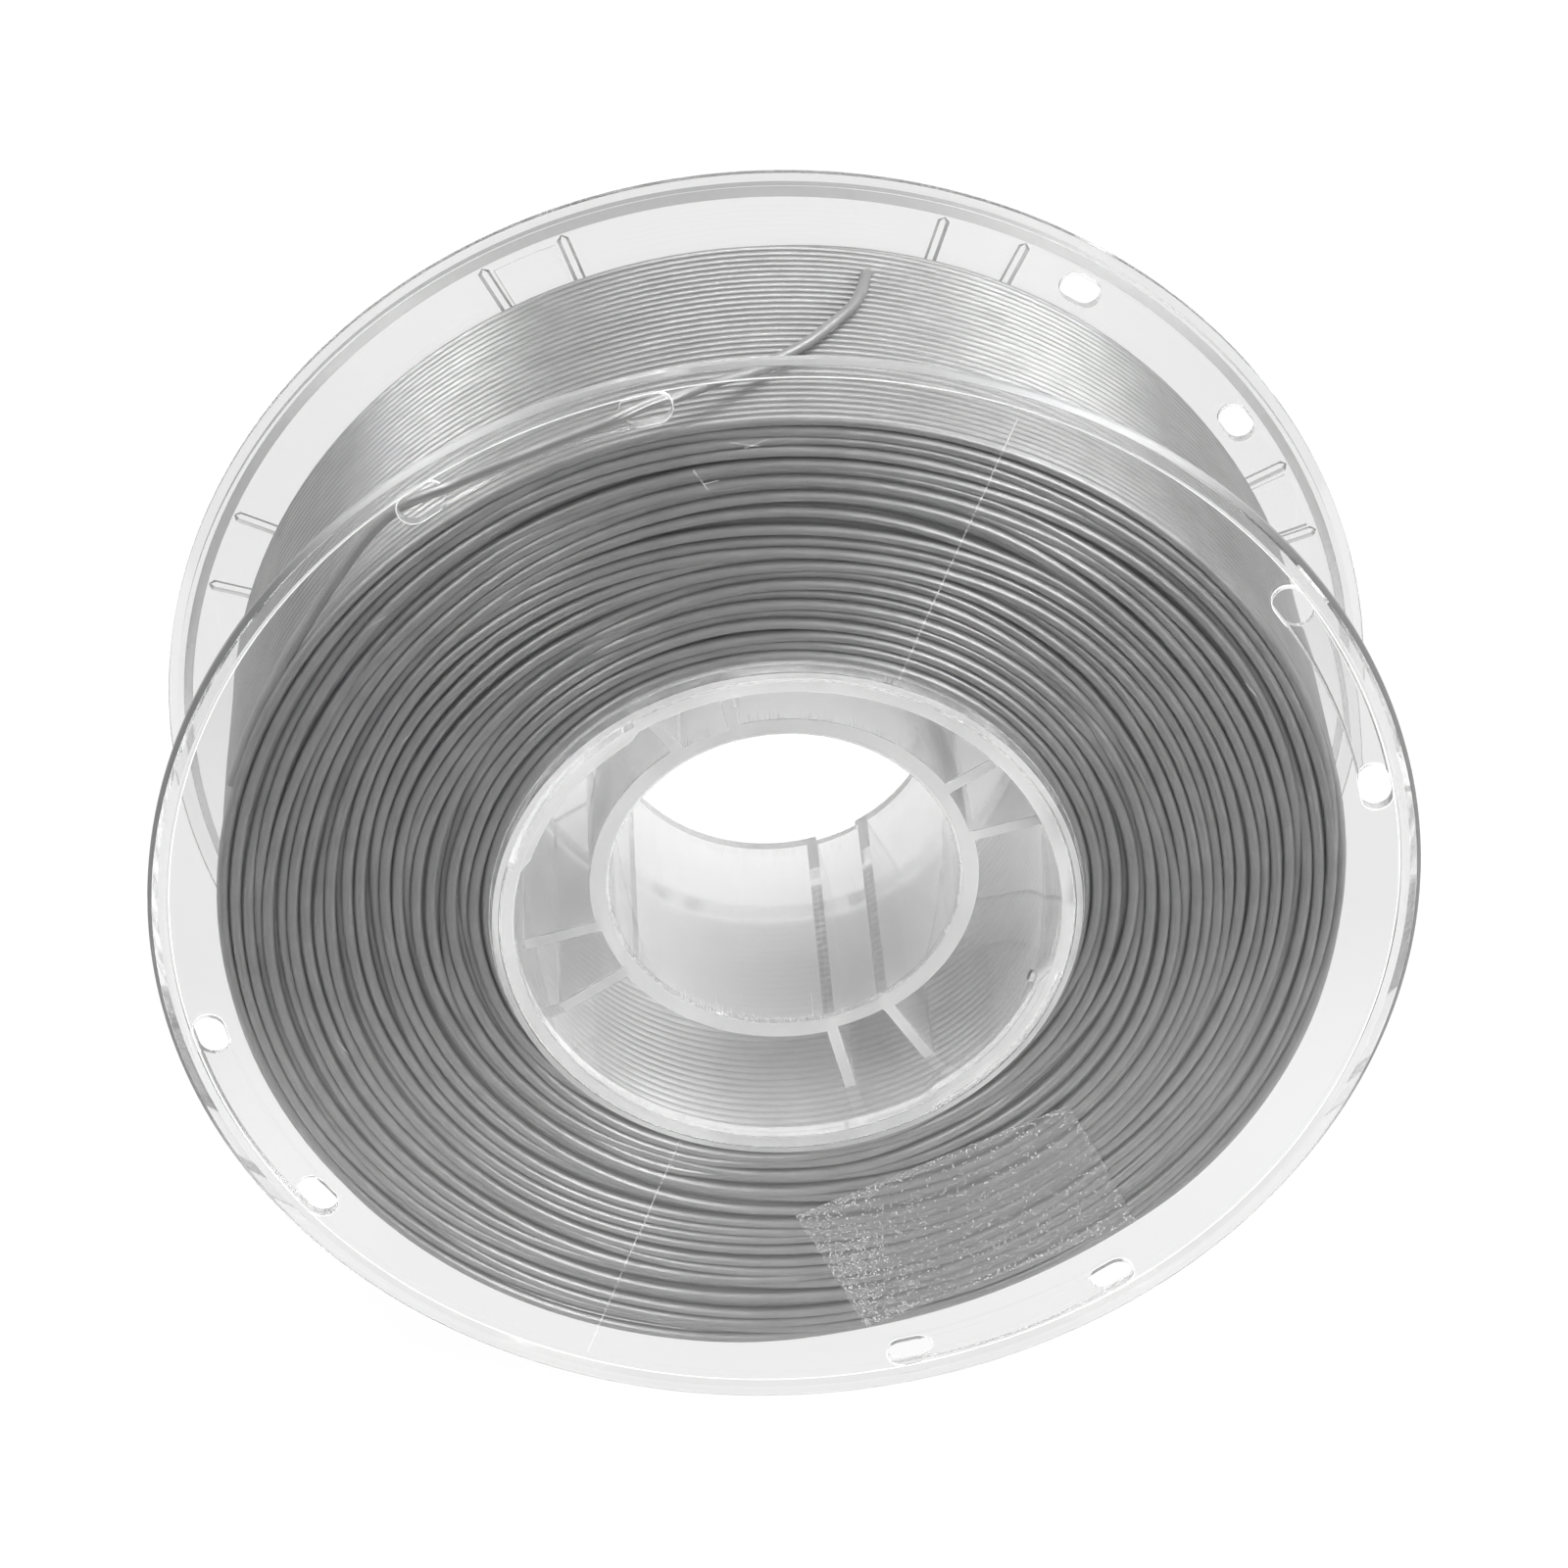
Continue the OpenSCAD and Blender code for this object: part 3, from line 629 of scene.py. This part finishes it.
def low_rib(angle):
    """A low rib on the rear flange's outer face: sloped sides and a pointed outer end."""
    at = beside(angle)
    loops = []
    # Depth, half width and how far the ends draw in.
    for y, half, ends in ((WEB - 0.33, 1.0, -0.08), (WEB + 0.013, 0.98, -0.05),
                          (WEB + 0.5, 0.55, 0.15), (WEB + 0.58, 0.45, 0.3)):
        loops.append([at(LOW_RIB_IN + ends, -half, y), at(LOW_RIB_OUT - ends, -half, y),
                      at(LOW_RIB_OUT + LOW_RIB_POINT - ends, 0, y), at(LOW_RIB_OUT - ends, half, y),
                      at(LOW_RIB_IN + ends, half, y)])
    return loft("low_rib", loops)


def start_hole():
    """Cuts the drum's small round hole."""
    a = math.radians(START)
    out, along = Vector((math.cos(a), 0, math.sin(a))), Vector((-math.sin(a), 0, math.cos(a)))
    return loft("start_hole", [[
        (out * r + along * START_R * math.cos(w)
         + Vector((0, START_R * math.sin(w) + START_Y, 0))) * MM
        for w in (2 * math.pi * k / 16 for k in range(16))] for r in (DRUM_IN - 2, DRUM_R + 1)])


def clear_hub():
    """Rear flange, drum, bore tube and plate ribs: one moulding."""
    body = revolve("clear_hub_moulding", rounded([
        (DRUM_IN, WEB, 0.2),
        (FOOT - 0.75, WEB, 0.2),
        (FOOT + 0.75, RIM, 0.2),
        (FLANGE_R - 0.65, RIM, 0.35),
        (FLANGE_R, RIM - 0.65, 0.35),
        (FLANGE_R, INNER + 1.3, 0.25),
        (BEVEL_R, INNER, 0),
        (DRUM_R, INNER, 0.25),
        (DRUM_R, -INNER + 0.03, 0.1),
        (SPIGOT_R, -INNER + 0.03, 0.1),
        (SPIGOT_R, -DRUM_END, 0.25),
        (DRUM_IN, -DRUM_END, 0.25),
    ]))
    tube = revolve("tube", rounded([
        (BORE_R, WEB, 0.2),
        (TUBE_R, WEB, 0.1),
        (TUBE_R, -TUBE_END, 0.15),
        (BORE_R, -TUBE_END, 0.8),
    ]))
    ribs = [plate_rib(PAIR + 90 * k + side * RIB_SPLIT / 2) for k in range(4) for side in (-1, 1)]
    low_ribs = [low_rib(PAIR + 45 * k + side * LOW_RIB_SPLIT / 2) for k in range(8) for side in (-1, 1)]
    cuts = []
    flat = RIB_SPLIT / 2 - math.degrees(math.asin(RIB_T / 2 / TUBE_R))
    for k in range(4):
        middle = PAIR + 90 * k
        cuts.append(arc_block(TUBE_R - FLAT, TUBE_R + 1, WEB + 1, -TUBE_END - 1,
                              middle - flat, 2 * flat, 8))
    boolean(tube, join("flats", cuts), "DIFFERENCE")
    pads = [pad(LATCH + 180 * k, LATCH_SPAN) for k in range(2)]
    boolean(body, join("parts", [tube] + ribs + low_ribs + pads), "UNION")
    cuts = []
    for k in range(4):
        middle = PAIR + 90 * k
        cuts.append(arc_block(BORE_R - 1, BORE_R + NOTCH, WEB + 1, WEB - NOTCH_L,
                              middle - flat, 2 * flat, 8))
        cuts.append(arc_block(LOW_RIB_IN, RECESS_OUT, WEB + 1, WEB - RECESS,
                              middle - RECESS_SPAN / 2, RECESS_SPAN, 4))
    for k in range(2):
        for side in (-1, 1):
            cuts.append(hole_cutter(REAR_HOLE_R, PAIR + 22.5 + 180 * k + side * HOLE_SPLIT / 2,
                                    REAR_HOLE_W, REAR_HOLE_L, 1))
        cuts.append(arc_block(SPIGOT_R - 1, SPIGOT_R + 1, -WEB, -DRUM_END - 1,
                              LATCH + 180 * k, LATCH_SPAN))
    cuts.append(start_hole())
    boolean(body, join("cuts", cuts), "DIFFERENCE")
    finish_solid(body)
    paint(body, (CLEAR, DRUM, HAZY, FROSTED, PINNED, STEP_SHADE), hub_finish)
    return body


front = front_flange()
hub = clear_hub()


# ---------------------------------------------------------------- the strand
def wander(rng, waves, size):
    """A closed curve of small random waves: a function of the angle in degrees."""
    parts = [(k, rng.normal() * size / (1 + 0.35 * k), rng.uniform(0, 2 * math.pi))
             for k in range(1, waves + 1)]
    return lambda a: sum(s * np.sin(k * np.radians(a) + p) for k, s, p in parts)


def bulge(a):
    """How far the winding stands out: on one side, where the layers pile up."""
    return 1.9 * np.clip(np.cos(np.radians(a + 125)), 0, 1) ** 3 - 0.35


# Where the turns part over a stretch and a deeper one shows: start and end angle, radius, width of the gap.
PARTINGS = [
    (25, 80, 74.4, 1.0), (58, 108, 71.2, 0.6), (35, 72, 65.2, 0.7), (5, 90, 62.4, 0.9),
    (78, 122, 51.2, 0.7), (38, 66, 69.2, 0.4), (-12, 34, 84.9, 0.5), (-20, 40, 73.6, 0.6),
    (95, 135, 82.6, 0.7), (100, 130, 61.0, 0.6), (160, 212, 65.5, 0.9), (196, 240, 78.2, 0.7),
    (150, 176, 56.0, 0.6), (166, 196, 72.5, 0.6), (176, 206, 52.5, 0.5), (312, 350, 73.0, 0.7),
    (285, 318, 58.5, 0.6), (252, 280, 82.5, 0.5), (120, 148, 80.5, 0.7), (128, 152, 69.0, 0.6),
]


def smooth(f):
    """Eases a share from 0 to 1."""
    return f * f * (3 - 2 * f)


def side_rings(seed, y, sign, partings=(), count=24, steps=216):
    """The turns beside one web, as rings that wander together and apart and press on each other. Gives the
    row at the web, where a squeezed ring sinks in, and a row that fills the gaps behind it."""
    rng = np.random.default_rng(seed)
    a = np.arange(steps) * 360 / steps
    shared = [wander(rng, 4, 0.85) for _ in range(7)]
    rings = []
    for i in range(count):
        u = i / (count - 1)
        place = u * (len(shared) - 1)
        k = min(int(place), len(shared) - 2)
        f = smooth(place - k)
        # Neighbouring turns wander together, and each has a small wander of its own.
        drift = (shared[k](a) * (1 - f) + shared[k + 1](a) * f) * math.sin(math.pi * (0.08 + 0.84 * u))
        own = wander(rng, 5, 0.26)(a)
        ring = WOUND_IN + (WOUND_OUT - WOUND_IN) * u + drift + own + bulge(a) * u ** 1.5
        for start, end, radius, width in partings:
            off = ring - radius
            inside = np.clip(1 - np.abs((a - (start + end) / 2 + 180) % 360 - 180) / (end - start) * 2, 0, 1)
            swell = smooth(inside)
            ring = ring + swell * width / 2 * np.tanh(off / 0.5) * np.exp(-np.abs(off) / 4.5)
        rings.append(ring)
    rings = np.sort(np.array(rings), axis=0)
    rings = np.clip(rings, WOUND_IN, None)
    # A ring with too little room beside the last one sinks in behind it.
    sink = np.zeros_like(rings)
    for i in range(1, count):
        gap = rings[i] - rings[i - 1]
        need = np.sqrt(np.clip((2 * STRAND_R) ** 2 - gap ** 2, 0, None))
        sink[i] = np.where(sink[i - 1] < need * 0.5, need - sink[i - 1] * 0.3, 0)
    for _ in range(16):
        sink = (np.roll(sink, 1, 1) + 2 * sink + np.roll(sink, -1, 1)) / 4
    front_row = [
        [(r * math.cos(t), y - sign * s, r * math.sin(t))
         for r, s, t in zip(rings[i], sink[i], np.radians(a))]
        for i in range(count)]
    behind = (rings[1:] + rings[:-1]) / 2
    back_row = [
        [(r * math.cos(t), y - sign * (2 * STRAND_R + 0.25 * w), r * math.sin(t))
         for r, w, t in zip(behind[i], wander(rng, 5, 1.0)(a), np.radians(a))]
        for i in range(count - 1)]
    return front_row, back_row


def helix(seed, radius, steps, bulging=0.0, rough=0.12, turns=LAYER_TURNS):
    """One layer of turns from flange to flange, wound on the layer below it."""
    rng = np.random.default_rng(seed)
    n = turns * steps + 1
    t = np.arange(n) / steps
    a = t * 360
    lean = [wander(rng, 3, rough) for _ in range(7)]
    lift = [wander(rng, 4, rough * 0.7) for _ in range(7)]

    def along(parts):
        place = np.clip(t / turns * (len(parts) - 1), 0, len(parts) - 1.001)
        k = place.astype(int)
        f = smooth(place - k)
        every = np.array([p(a) for p in parts])
        return every[k, np.arange(n)] * (1 - f) + every[k + 1, np.arange(n)] * f

    y = -LAYER_Y + 2 * LAYER_Y * t / turns
    # Over the last two turns at either end the lean fades out, against the web.
    ease = np.clip(np.minimum(t, turns - t) / 2, 0, 1)
    y = y + along(lean) * ease
    # The winding bulges at its front, and less and less towards the rear.
    front_share = np.clip((10 - y) / 36, 0, 1) ** 1.2
    r = radius + along(lift) * 0.6 + bulging * bulge(a) * front_share
    # The strand comes up from the layer below at one end, and dives back at the other.
    r = r - 1.9 * np.clip(1 - np.minimum(t, turns - t) / 0.12, 0, 1) ** 2
    return [(rr * math.cos(aa), yy, rr * math.sin(aa)) for rr, yy, aa in zip(r, y, np.radians(a))]


def curve_of(name, lines, closed):
    """A curve object of straight pieces through points in millimetres."""
    data = bpy.data.curves.new(name, "CURVE")
    data.dimensions = "3D"
    for line in lines:
        s = data.splines.new("POLY")
        s.points.add(len(line) - 1)
        s.points.foreach_set("co", [c for p in line for c in (p[0] * MM, p[1] * MM, p[2] * MM, 1.0)])
        s.use_cyclic_u = closed
    ob = bpy.data.objects.new(name, data)
    bpy.context.scene.collection.objects.link(ob)
    return ob


def strand_tree():
    """Geometry Nodes: sweeps a round strand along its path."""
    tree = bpy.data.node_groups.new("strand_along_path", "GeometryNodeTree")
    face = tree.interface
    face.new_socket("Geometry", in_out="INPUT", socket_type="NodeSocketGeometry")
    face.new_socket("Strand Radius", in_out="INPUT", socket_type="NodeSocketFloat")
    face.new_socket("Sides", in_out="INPUT", socket_type="NodeSocketInt")
    face.new_socket("Finish", in_out="INPUT", socket_type="NodeSocketMaterial")
    face.new_socket("Geometry", in_out="OUTPUT", socket_type="NodeSocketGeometry")
    given = tree.nodes.new("NodeGroupInput").outputs
    ring = add(tree, "GeometryNodeCurvePrimitiveCircle",
               i_Resolution=given["Sides"], i_Radius=given["Strand Radius"])
    swept = add(tree, "GeometryNodeCurveToMesh", i_Curve=given["Geometry"],
                i_Profile_Curve=ring.outputs["Curve"], i_Fill_Caps=True)
    round_off = add(tree, "GeometryNodeSetShadeSmooth", i_Geometry=swept.outputs[0])
    real = add(tree, "GeometryNodeRealizeInstances", i_Geometry=round_off.outputs[0])
    finish = add(tree, "GeometryNodeSetMaterial", i_Geometry=real.outputs[0], i_Material=given["Finish"])
    out = tree.nodes.new("NodeGroupOutput")
    tree.links.new(finish.outputs[0], out.inputs[0])
    return tree


STRAND_TREE = strand_tree()


def sweep(name, lines, closed, sides):
    """The strand along one or more lines, as one piece."""
    path = curve_of(name + "_path", lines, closed)
    m = path.modifiers.new("sweep", "NODES")
    m.node_group = STRAND_TREE
    ids = {i.name: i.identifier for i in STRAND_TREE.interface.items_tree if i.in_out == "INPUT"}
    m[ids["Strand Radius"]] = STRAND_R * MM
    m[ids["Sides"]] = sides
    m[ids["Finish"]] = STRAND
    mesh = made(path)
    mesh.name = name
    ob = bpy.data.objects.new(name, mesh)
    bpy.context.scene.collection.objects.link(ob)
    bpy.data.objects.remove(path)
    return outward(ob)


front_row, front_row_behind = side_rings(seed=7, y=-SIDE_Y, sign=-1, partings=PARTINGS)
front_turns = sweep("wound_turns_front_side", front_row, closed=True, sides=12)
front_turns_behind = sweep("wound_turns_behind_front_side", front_row_behind, closed=True, sides=6)
rear_row, rear_row_behind = side_rings(seed=19, y=SIDE_Y, sign=1, steps=144)
rear_turns = sweep("wound_turns_rear_side", rear_row, closed=True, sides=8)
rear_turns_behind = sweep("wound_turns_behind_rear_side", rear_row_behind, closed=True, sides=6)
outer_turns = helix(seed=3, radius=WOUND_OUT, steps=144, bulging=1.0)
outer_layer = sweep("wound_turns_outer_layer", [outer_turns], closed=False, sides=10)
inner_turns = helix(seed=5, radius=WOUND_IN, steps=96, rough=0.06)
inner_layer = sweep("wound_turns_inner_layer", [inner_turns], closed=False, sides=8)
core = revolve("wound_turns_inside", [
    (WOUND_IN + 0.3, -CORE_Y), (WOUND_OUT - 0.6, -CORE_Y),
    (WOUND_OUT - 0.6, CORE_Y), (WOUND_IN + 0.3, CORE_Y)], segments=128)
core.data.materials.append(STRAND)

# Knots of the strand's two ends, as (angle, radius, y). The loose end leaves its turn near the rear, crosses
# to the front and is threaded through two holes; the start is bent from its turn through the drum's hole.
LOOSE_KNOTS = [
    (70, 85.6, 19.7), (75, 86.0, 19.7), (78.2, 86.9, 19.6), (79.7, 88.0, 19.1),
    (80.4, 89.1, 17.9), (80.8, 89.9, 15.4), (81.1, 90.2, 12.4), (81.6, 90.2, 9.2),
    (82.5, 90.1, 5.2), (83.9, 90.1, 1.0), (85.7, 90.1, -3.6), (87.8, 90.2, -8.4),
    (90.3, 90.6, -13.0), (93.2, 91.4, -17.4), (96.2, 92.6, -21.3), (98.9, 93.5, -25.0),
    (100.4, 93.8, -26.5), (102.75, 94.0, -28.0), (105.1, 93.9, -29.5), (106.8, 93.6, -29.7),
    (111.2, 93.2, -29.6), (114.8, 93.1, -29.5), (119.4, 93.7, -29.6), (121.0, 94.0, -29.7),
    (122.7, 94.2, -29.5), (125.25, 94.3, -28.0), (127.7, 94.2, -26.5), (129.5, 94.0, -25.6),
    (132.6, 93.2, -25.2), (137.5, 91.8, -25.3), (143, 90.6, -25.7), (149, 89.9, -26.0),
    (156, 89.6, -26.2), (163, 89.4, -26.3),
]
START_KNOTS = [
    (-33, 47.2, -26.2), (-29, 47.1, -26.0), (-26, 46.8, -25.6), (-24.2, 46.0, -25.3),
    (-23.3, 44.8, -25.2), (-23, 43.4, -25.2), (-23, 42.4, -25.2),
]


def points_of(knots):
    return [np.array(polar(r, a, y)) / MM for a, r, y in knots]


def smooth_line(pts, steps=6):
    """A smooth line through points, with some steps from each to the next."""
    out = []
    for i in range(len(pts) - 1):
        p0, p1, p2, p3 = pts[max(i - 1, 0)], pts[i], pts[i + 1], pts[min(i + 2, len(pts) - 1)]
        for k in range(steps):
            t = k / steps
            out.append(0.5 * (2 * p1 + (p2 - p0) * t + (2 * p0 - 5 * p1 + 4 * p2 - p3) * t * t
                              + (3 * p1 - p0 - 3 * p2 + p3) * t ** 3))
    out.append(pts[-1])
    return [tuple(p) for p in out]


loose_line = smooth_line(points_of(LOOSE_KNOTS))
loose_end = sweep("strand_loose_end", [loose_line], closed=False, sides=16)
start_end = sweep("strand_start", [points_of(START_KNOTS)], closed=False, sides=12)


# ---------------------------------------------------------------- tape
def tape():
    """The film on the front flange's face: its two cut ends are ragged, and its outer face waves a little."""
    rng = np.random.default_rng(11)
    turn = math.radians(TAPE_TURN)
    nx, nz = 60, 34       # faces along and across
    ragged = {s: np.convolve(rng.normal(size=nz + 9), np.ones(5) / 5, "same")[:nz + 1] * 0.28 for s in (0, 1)}
    verts, faces = [], []
    for layer in (0, 1):
        for j in range(nz + 1):
            for i in range(nx + 1):
                u = (i / nx - 0.5) * TAPE_L
                v = (j / nz - 0.5) * TAPE_W
                pull = (abs(i / nx - 0.5) * 2) ** 8
                u -= math.copysign(1, u) * abs(ragged[0 if u < 0 else 1][j]) * pull
                x = TAPE_X + u * math.cos(turn) - v * math.sin(turn)
                z = TAPE_Z + u * math.sin(turn) + v * math.cos(turn)
                thin = 0.03 * (0.5 + 0.5 * math.sin(0.9 * u + 0.4 * v))
                y = -WEB - 0.01 - layer * (TAPE_T - 0.01 - thin)
                verts.append(Vector((x, y, z)) * MM)
    row, size = nx + 1, (nx + 1) * (nz + 1)
    for j in range(nz):
        for i in range(nx):
            q = (j * row + i, j * row + i + 1, (j + 1) * row + i + 1, (j + 1) * row + i)
            faces.append(q)
            faces.append(tuple(size + k for k in reversed(q)))
    edge = (list(range(nx)) + [j * row + nx for j in range(nz)]
            + [nz * row + nx - i for i in range(nx)] + [(nz - j) * row for j in range(nz)])
    for k, p in enumerate(edge):
        q = edge[(k + 1) % len(edge)]
        faces.append((p, q, size + q, size + p))
    ob = outward(mesh_object("clear_tape_film", verts, faces))
    ob.data.polygons.foreach_set("use_smooth", [True] * len(ob.data.polygons))
    ob.data.set_sharp_from_angle(angle=math.radians(40))
    ob.data.materials.append(TAPE)
    return ob


tape_film = tape()

for piece, slot, nodes in (
    (front, "clear_plastic", ["front_flange", "front_rim"]),
    (hub, "clear_plastic", ["rear_flange", "drum", "bore_tube", "hub_ribs"]),
    (core, "filament", ["winding_core"]),
    (front_turns, "filament", []),
    (front_turns_behind, "filament", []),
    (rear_turns, "filament", []),
    (rear_turns_behind, "filament", []),
    (inner_layer, "filament", []),
    (outer_layer, "filament", ["outer_turns"]),
    (loose_end, "filament", []),
    (start_end, "filament", []),
    (tape_film, "tape", ["clear_tape"]),
):
    if nodes:
        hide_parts(*nodes)
    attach(piece, "root")


# ---------------------------------------------------------------- floor, lamps and world
NEAR_TO_FAR = (0.04232, 0.824809, -0.563826)   # from the front and above, through the object
SEEN = 0.92               # how white the studio is through clear plastic


def seen_rays(t):
    """The light path, and 1 for what the eye sees, also mirrored or through a clear piece, or else 0."""
    path = add(t, "ShaderNodeLightPath")
    a = add(t, "ShaderNodeMath", operation="MAXIMUM",
            i0=path.outputs["Is Camera Ray"], i1=path.outputs["Is Glossy Ray"])
    b = add(t, "ShaderNodeMath", operation="MAXIMUM", i0=a.outputs[0], i1=path.outputs["Is Transmission Ray"])
    return path, b.outputs[0]


def lit_level(t, path, place, start, end, dim):
    """How white the studio is: 1 straight on, SEEN through clear plastic, and in a mirrored view SEEN on the
    far side and dim on the near side, where the room ahead of the paper is dark. Start and end, along
    NEAR_TO_FAR, are where it turns from the one to the other."""
    far = add(t, "ShaderNodeVectorMath", operation="DOT_PRODUCT", i0=place, i1=NEAR_TO_FAR)
    reach = add(t, "ShaderNodeMapRange", interpolation_type="SMOOTHSTEP", i_Value=far.outputs["Value"],
                i_From_Min=start, i_From_Max=end, i_To_Min=dim, i_To_Max=SEEN)
    unmirrored = add(t, "ShaderNodeMath", operation="LESS_THAN", i0=path.outputs["Glossy Depth"], i1=0.5)
    through = add(t, "ShaderNodeMath", operation="MULTIPLY", i0=unmirrored.outputs[0], i1=SEEN)
    level = add(t, "ShaderNodeMath", operation="MAXIMUM", i0=reach.outputs[0], i1=through.outputs[0])
    return add(t, "ShaderNodeMath", operation="MAXIMUM",
               i0=path.outputs["Is Camera Ray"], i1=level.outputs[0]).outputs[0]


floor = mesh_object(
    "floor", [Vector((x, y, FLOOR_Z)) for x, y in ((-2, -2), (2, -2), (2, 3), (-2, 3))], [(0, 1, 2, 3)])
paper = new_material("studio_paper_white")
t = paper.node_tree
path, seen = seen_rays(t)
# In a mirrored view the paper ends a hand's width before the object.
level = lit_level(t, path, add(t, "ShaderNodeTexCoord").outputs["Object"],
                  start=-0.0786, end=-0.0236, dim=0.06)
matt = add(t, "ShaderNodeBsdfDiffuse", i_Color=linear("#F4F4F4"))
glow = add(t, "ShaderNodeEmission", i_Color=(1, 1, 1, 1), i_Strength=level)
# Straight on, a tenth of the paper's look is its lit surface, which keeps the object's shadow.
share = add(t, "ShaderNodeMath", operation="MULTIPLY", i0=seen, i1=0.97)
share = add(t, "ShaderNodeMath", operation="MULTIPLY_ADD",
            i0=path.outputs["Is Camera Ray"], i1=-0.07, i2=share.outputs[0])
mix = add(t, "ShaderNodeMixShader", i0=share.outputs[0], i1=matt.outputs[0], i2=glow.outputs[0])
add(t, "ShaderNodeOutputMaterial", i_Surface=mix.outputs[0])
floor.data.materials.append(paper)

world = bpy.data.worlds.new("studio")
bpy.context.scene.world = world
world.use_nodes = True
t = world.node_tree
t.nodes.clear()
path, seen = seen_rays(t)
level = lit_level(t, path, add(t, "ShaderNodeTexCoord").outputs["Generated"],
                  start=-0.3, end=0.3, dim=0.12)
room = add(t, "ShaderNodeBackground", i_Color=linear("#FFFFFF"), i_Strength=0.25)
white = add(t, "ShaderNodeBackground", i_Color=(1, 1, 1, 1), i_Strength=level)
mix = add(t, "ShaderNodeMixShader", i0=seen, i1=room.outputs[0], i2=white.outputs[0])
add(t, "ShaderNodeOutputWorld", i_Surface=mix.outputs[0])


def softbox(name, place, toward, wide, high, power):
    """An even white lamp that faces the point of the bore's axis at the given depth."""
    light = bpy.data.lights.new(name, "AREA")
    light.shape, light.size, light.size_y, light.energy = "RECTANGLE", wide, high, power
    light.cycles.use_multiple_importance_sampling = False
    ob = bpy.data.objects.new(name, light)
    ob.location = place
    ob.rotation_euler = (Vector(place) - Vector((0, toward, 0))).to_track_quat("Z", "Y").to_euler()
    ob.visible_transmission = False
    bpy.context.scene.collection.objects.link(ob)


softbox("softbox_right", (0.76, -0.1, 0.77), toward=-0.1, wide=1.5, high=0.52, power=15.0)
softbox("softbox_left", (-0.92, -0.1, 0.69), toward=-0.1, wide=1.5, high=0.42, power=13.5)
softbox("softbox_front_right", (0.66, -0.96, 0.46), toward=0, wide=0.6, high=0.26, power=8.4)
softbox("softbox_front_left", (-0.86, -0.82, 0.38), toward=0, wide=0.5, high=0.3, power=0.8)
softbox("softbox_top", (0.0, 0.15, 1.1), toward=0.15, wide=1.0, high=0.8, power=11.5)
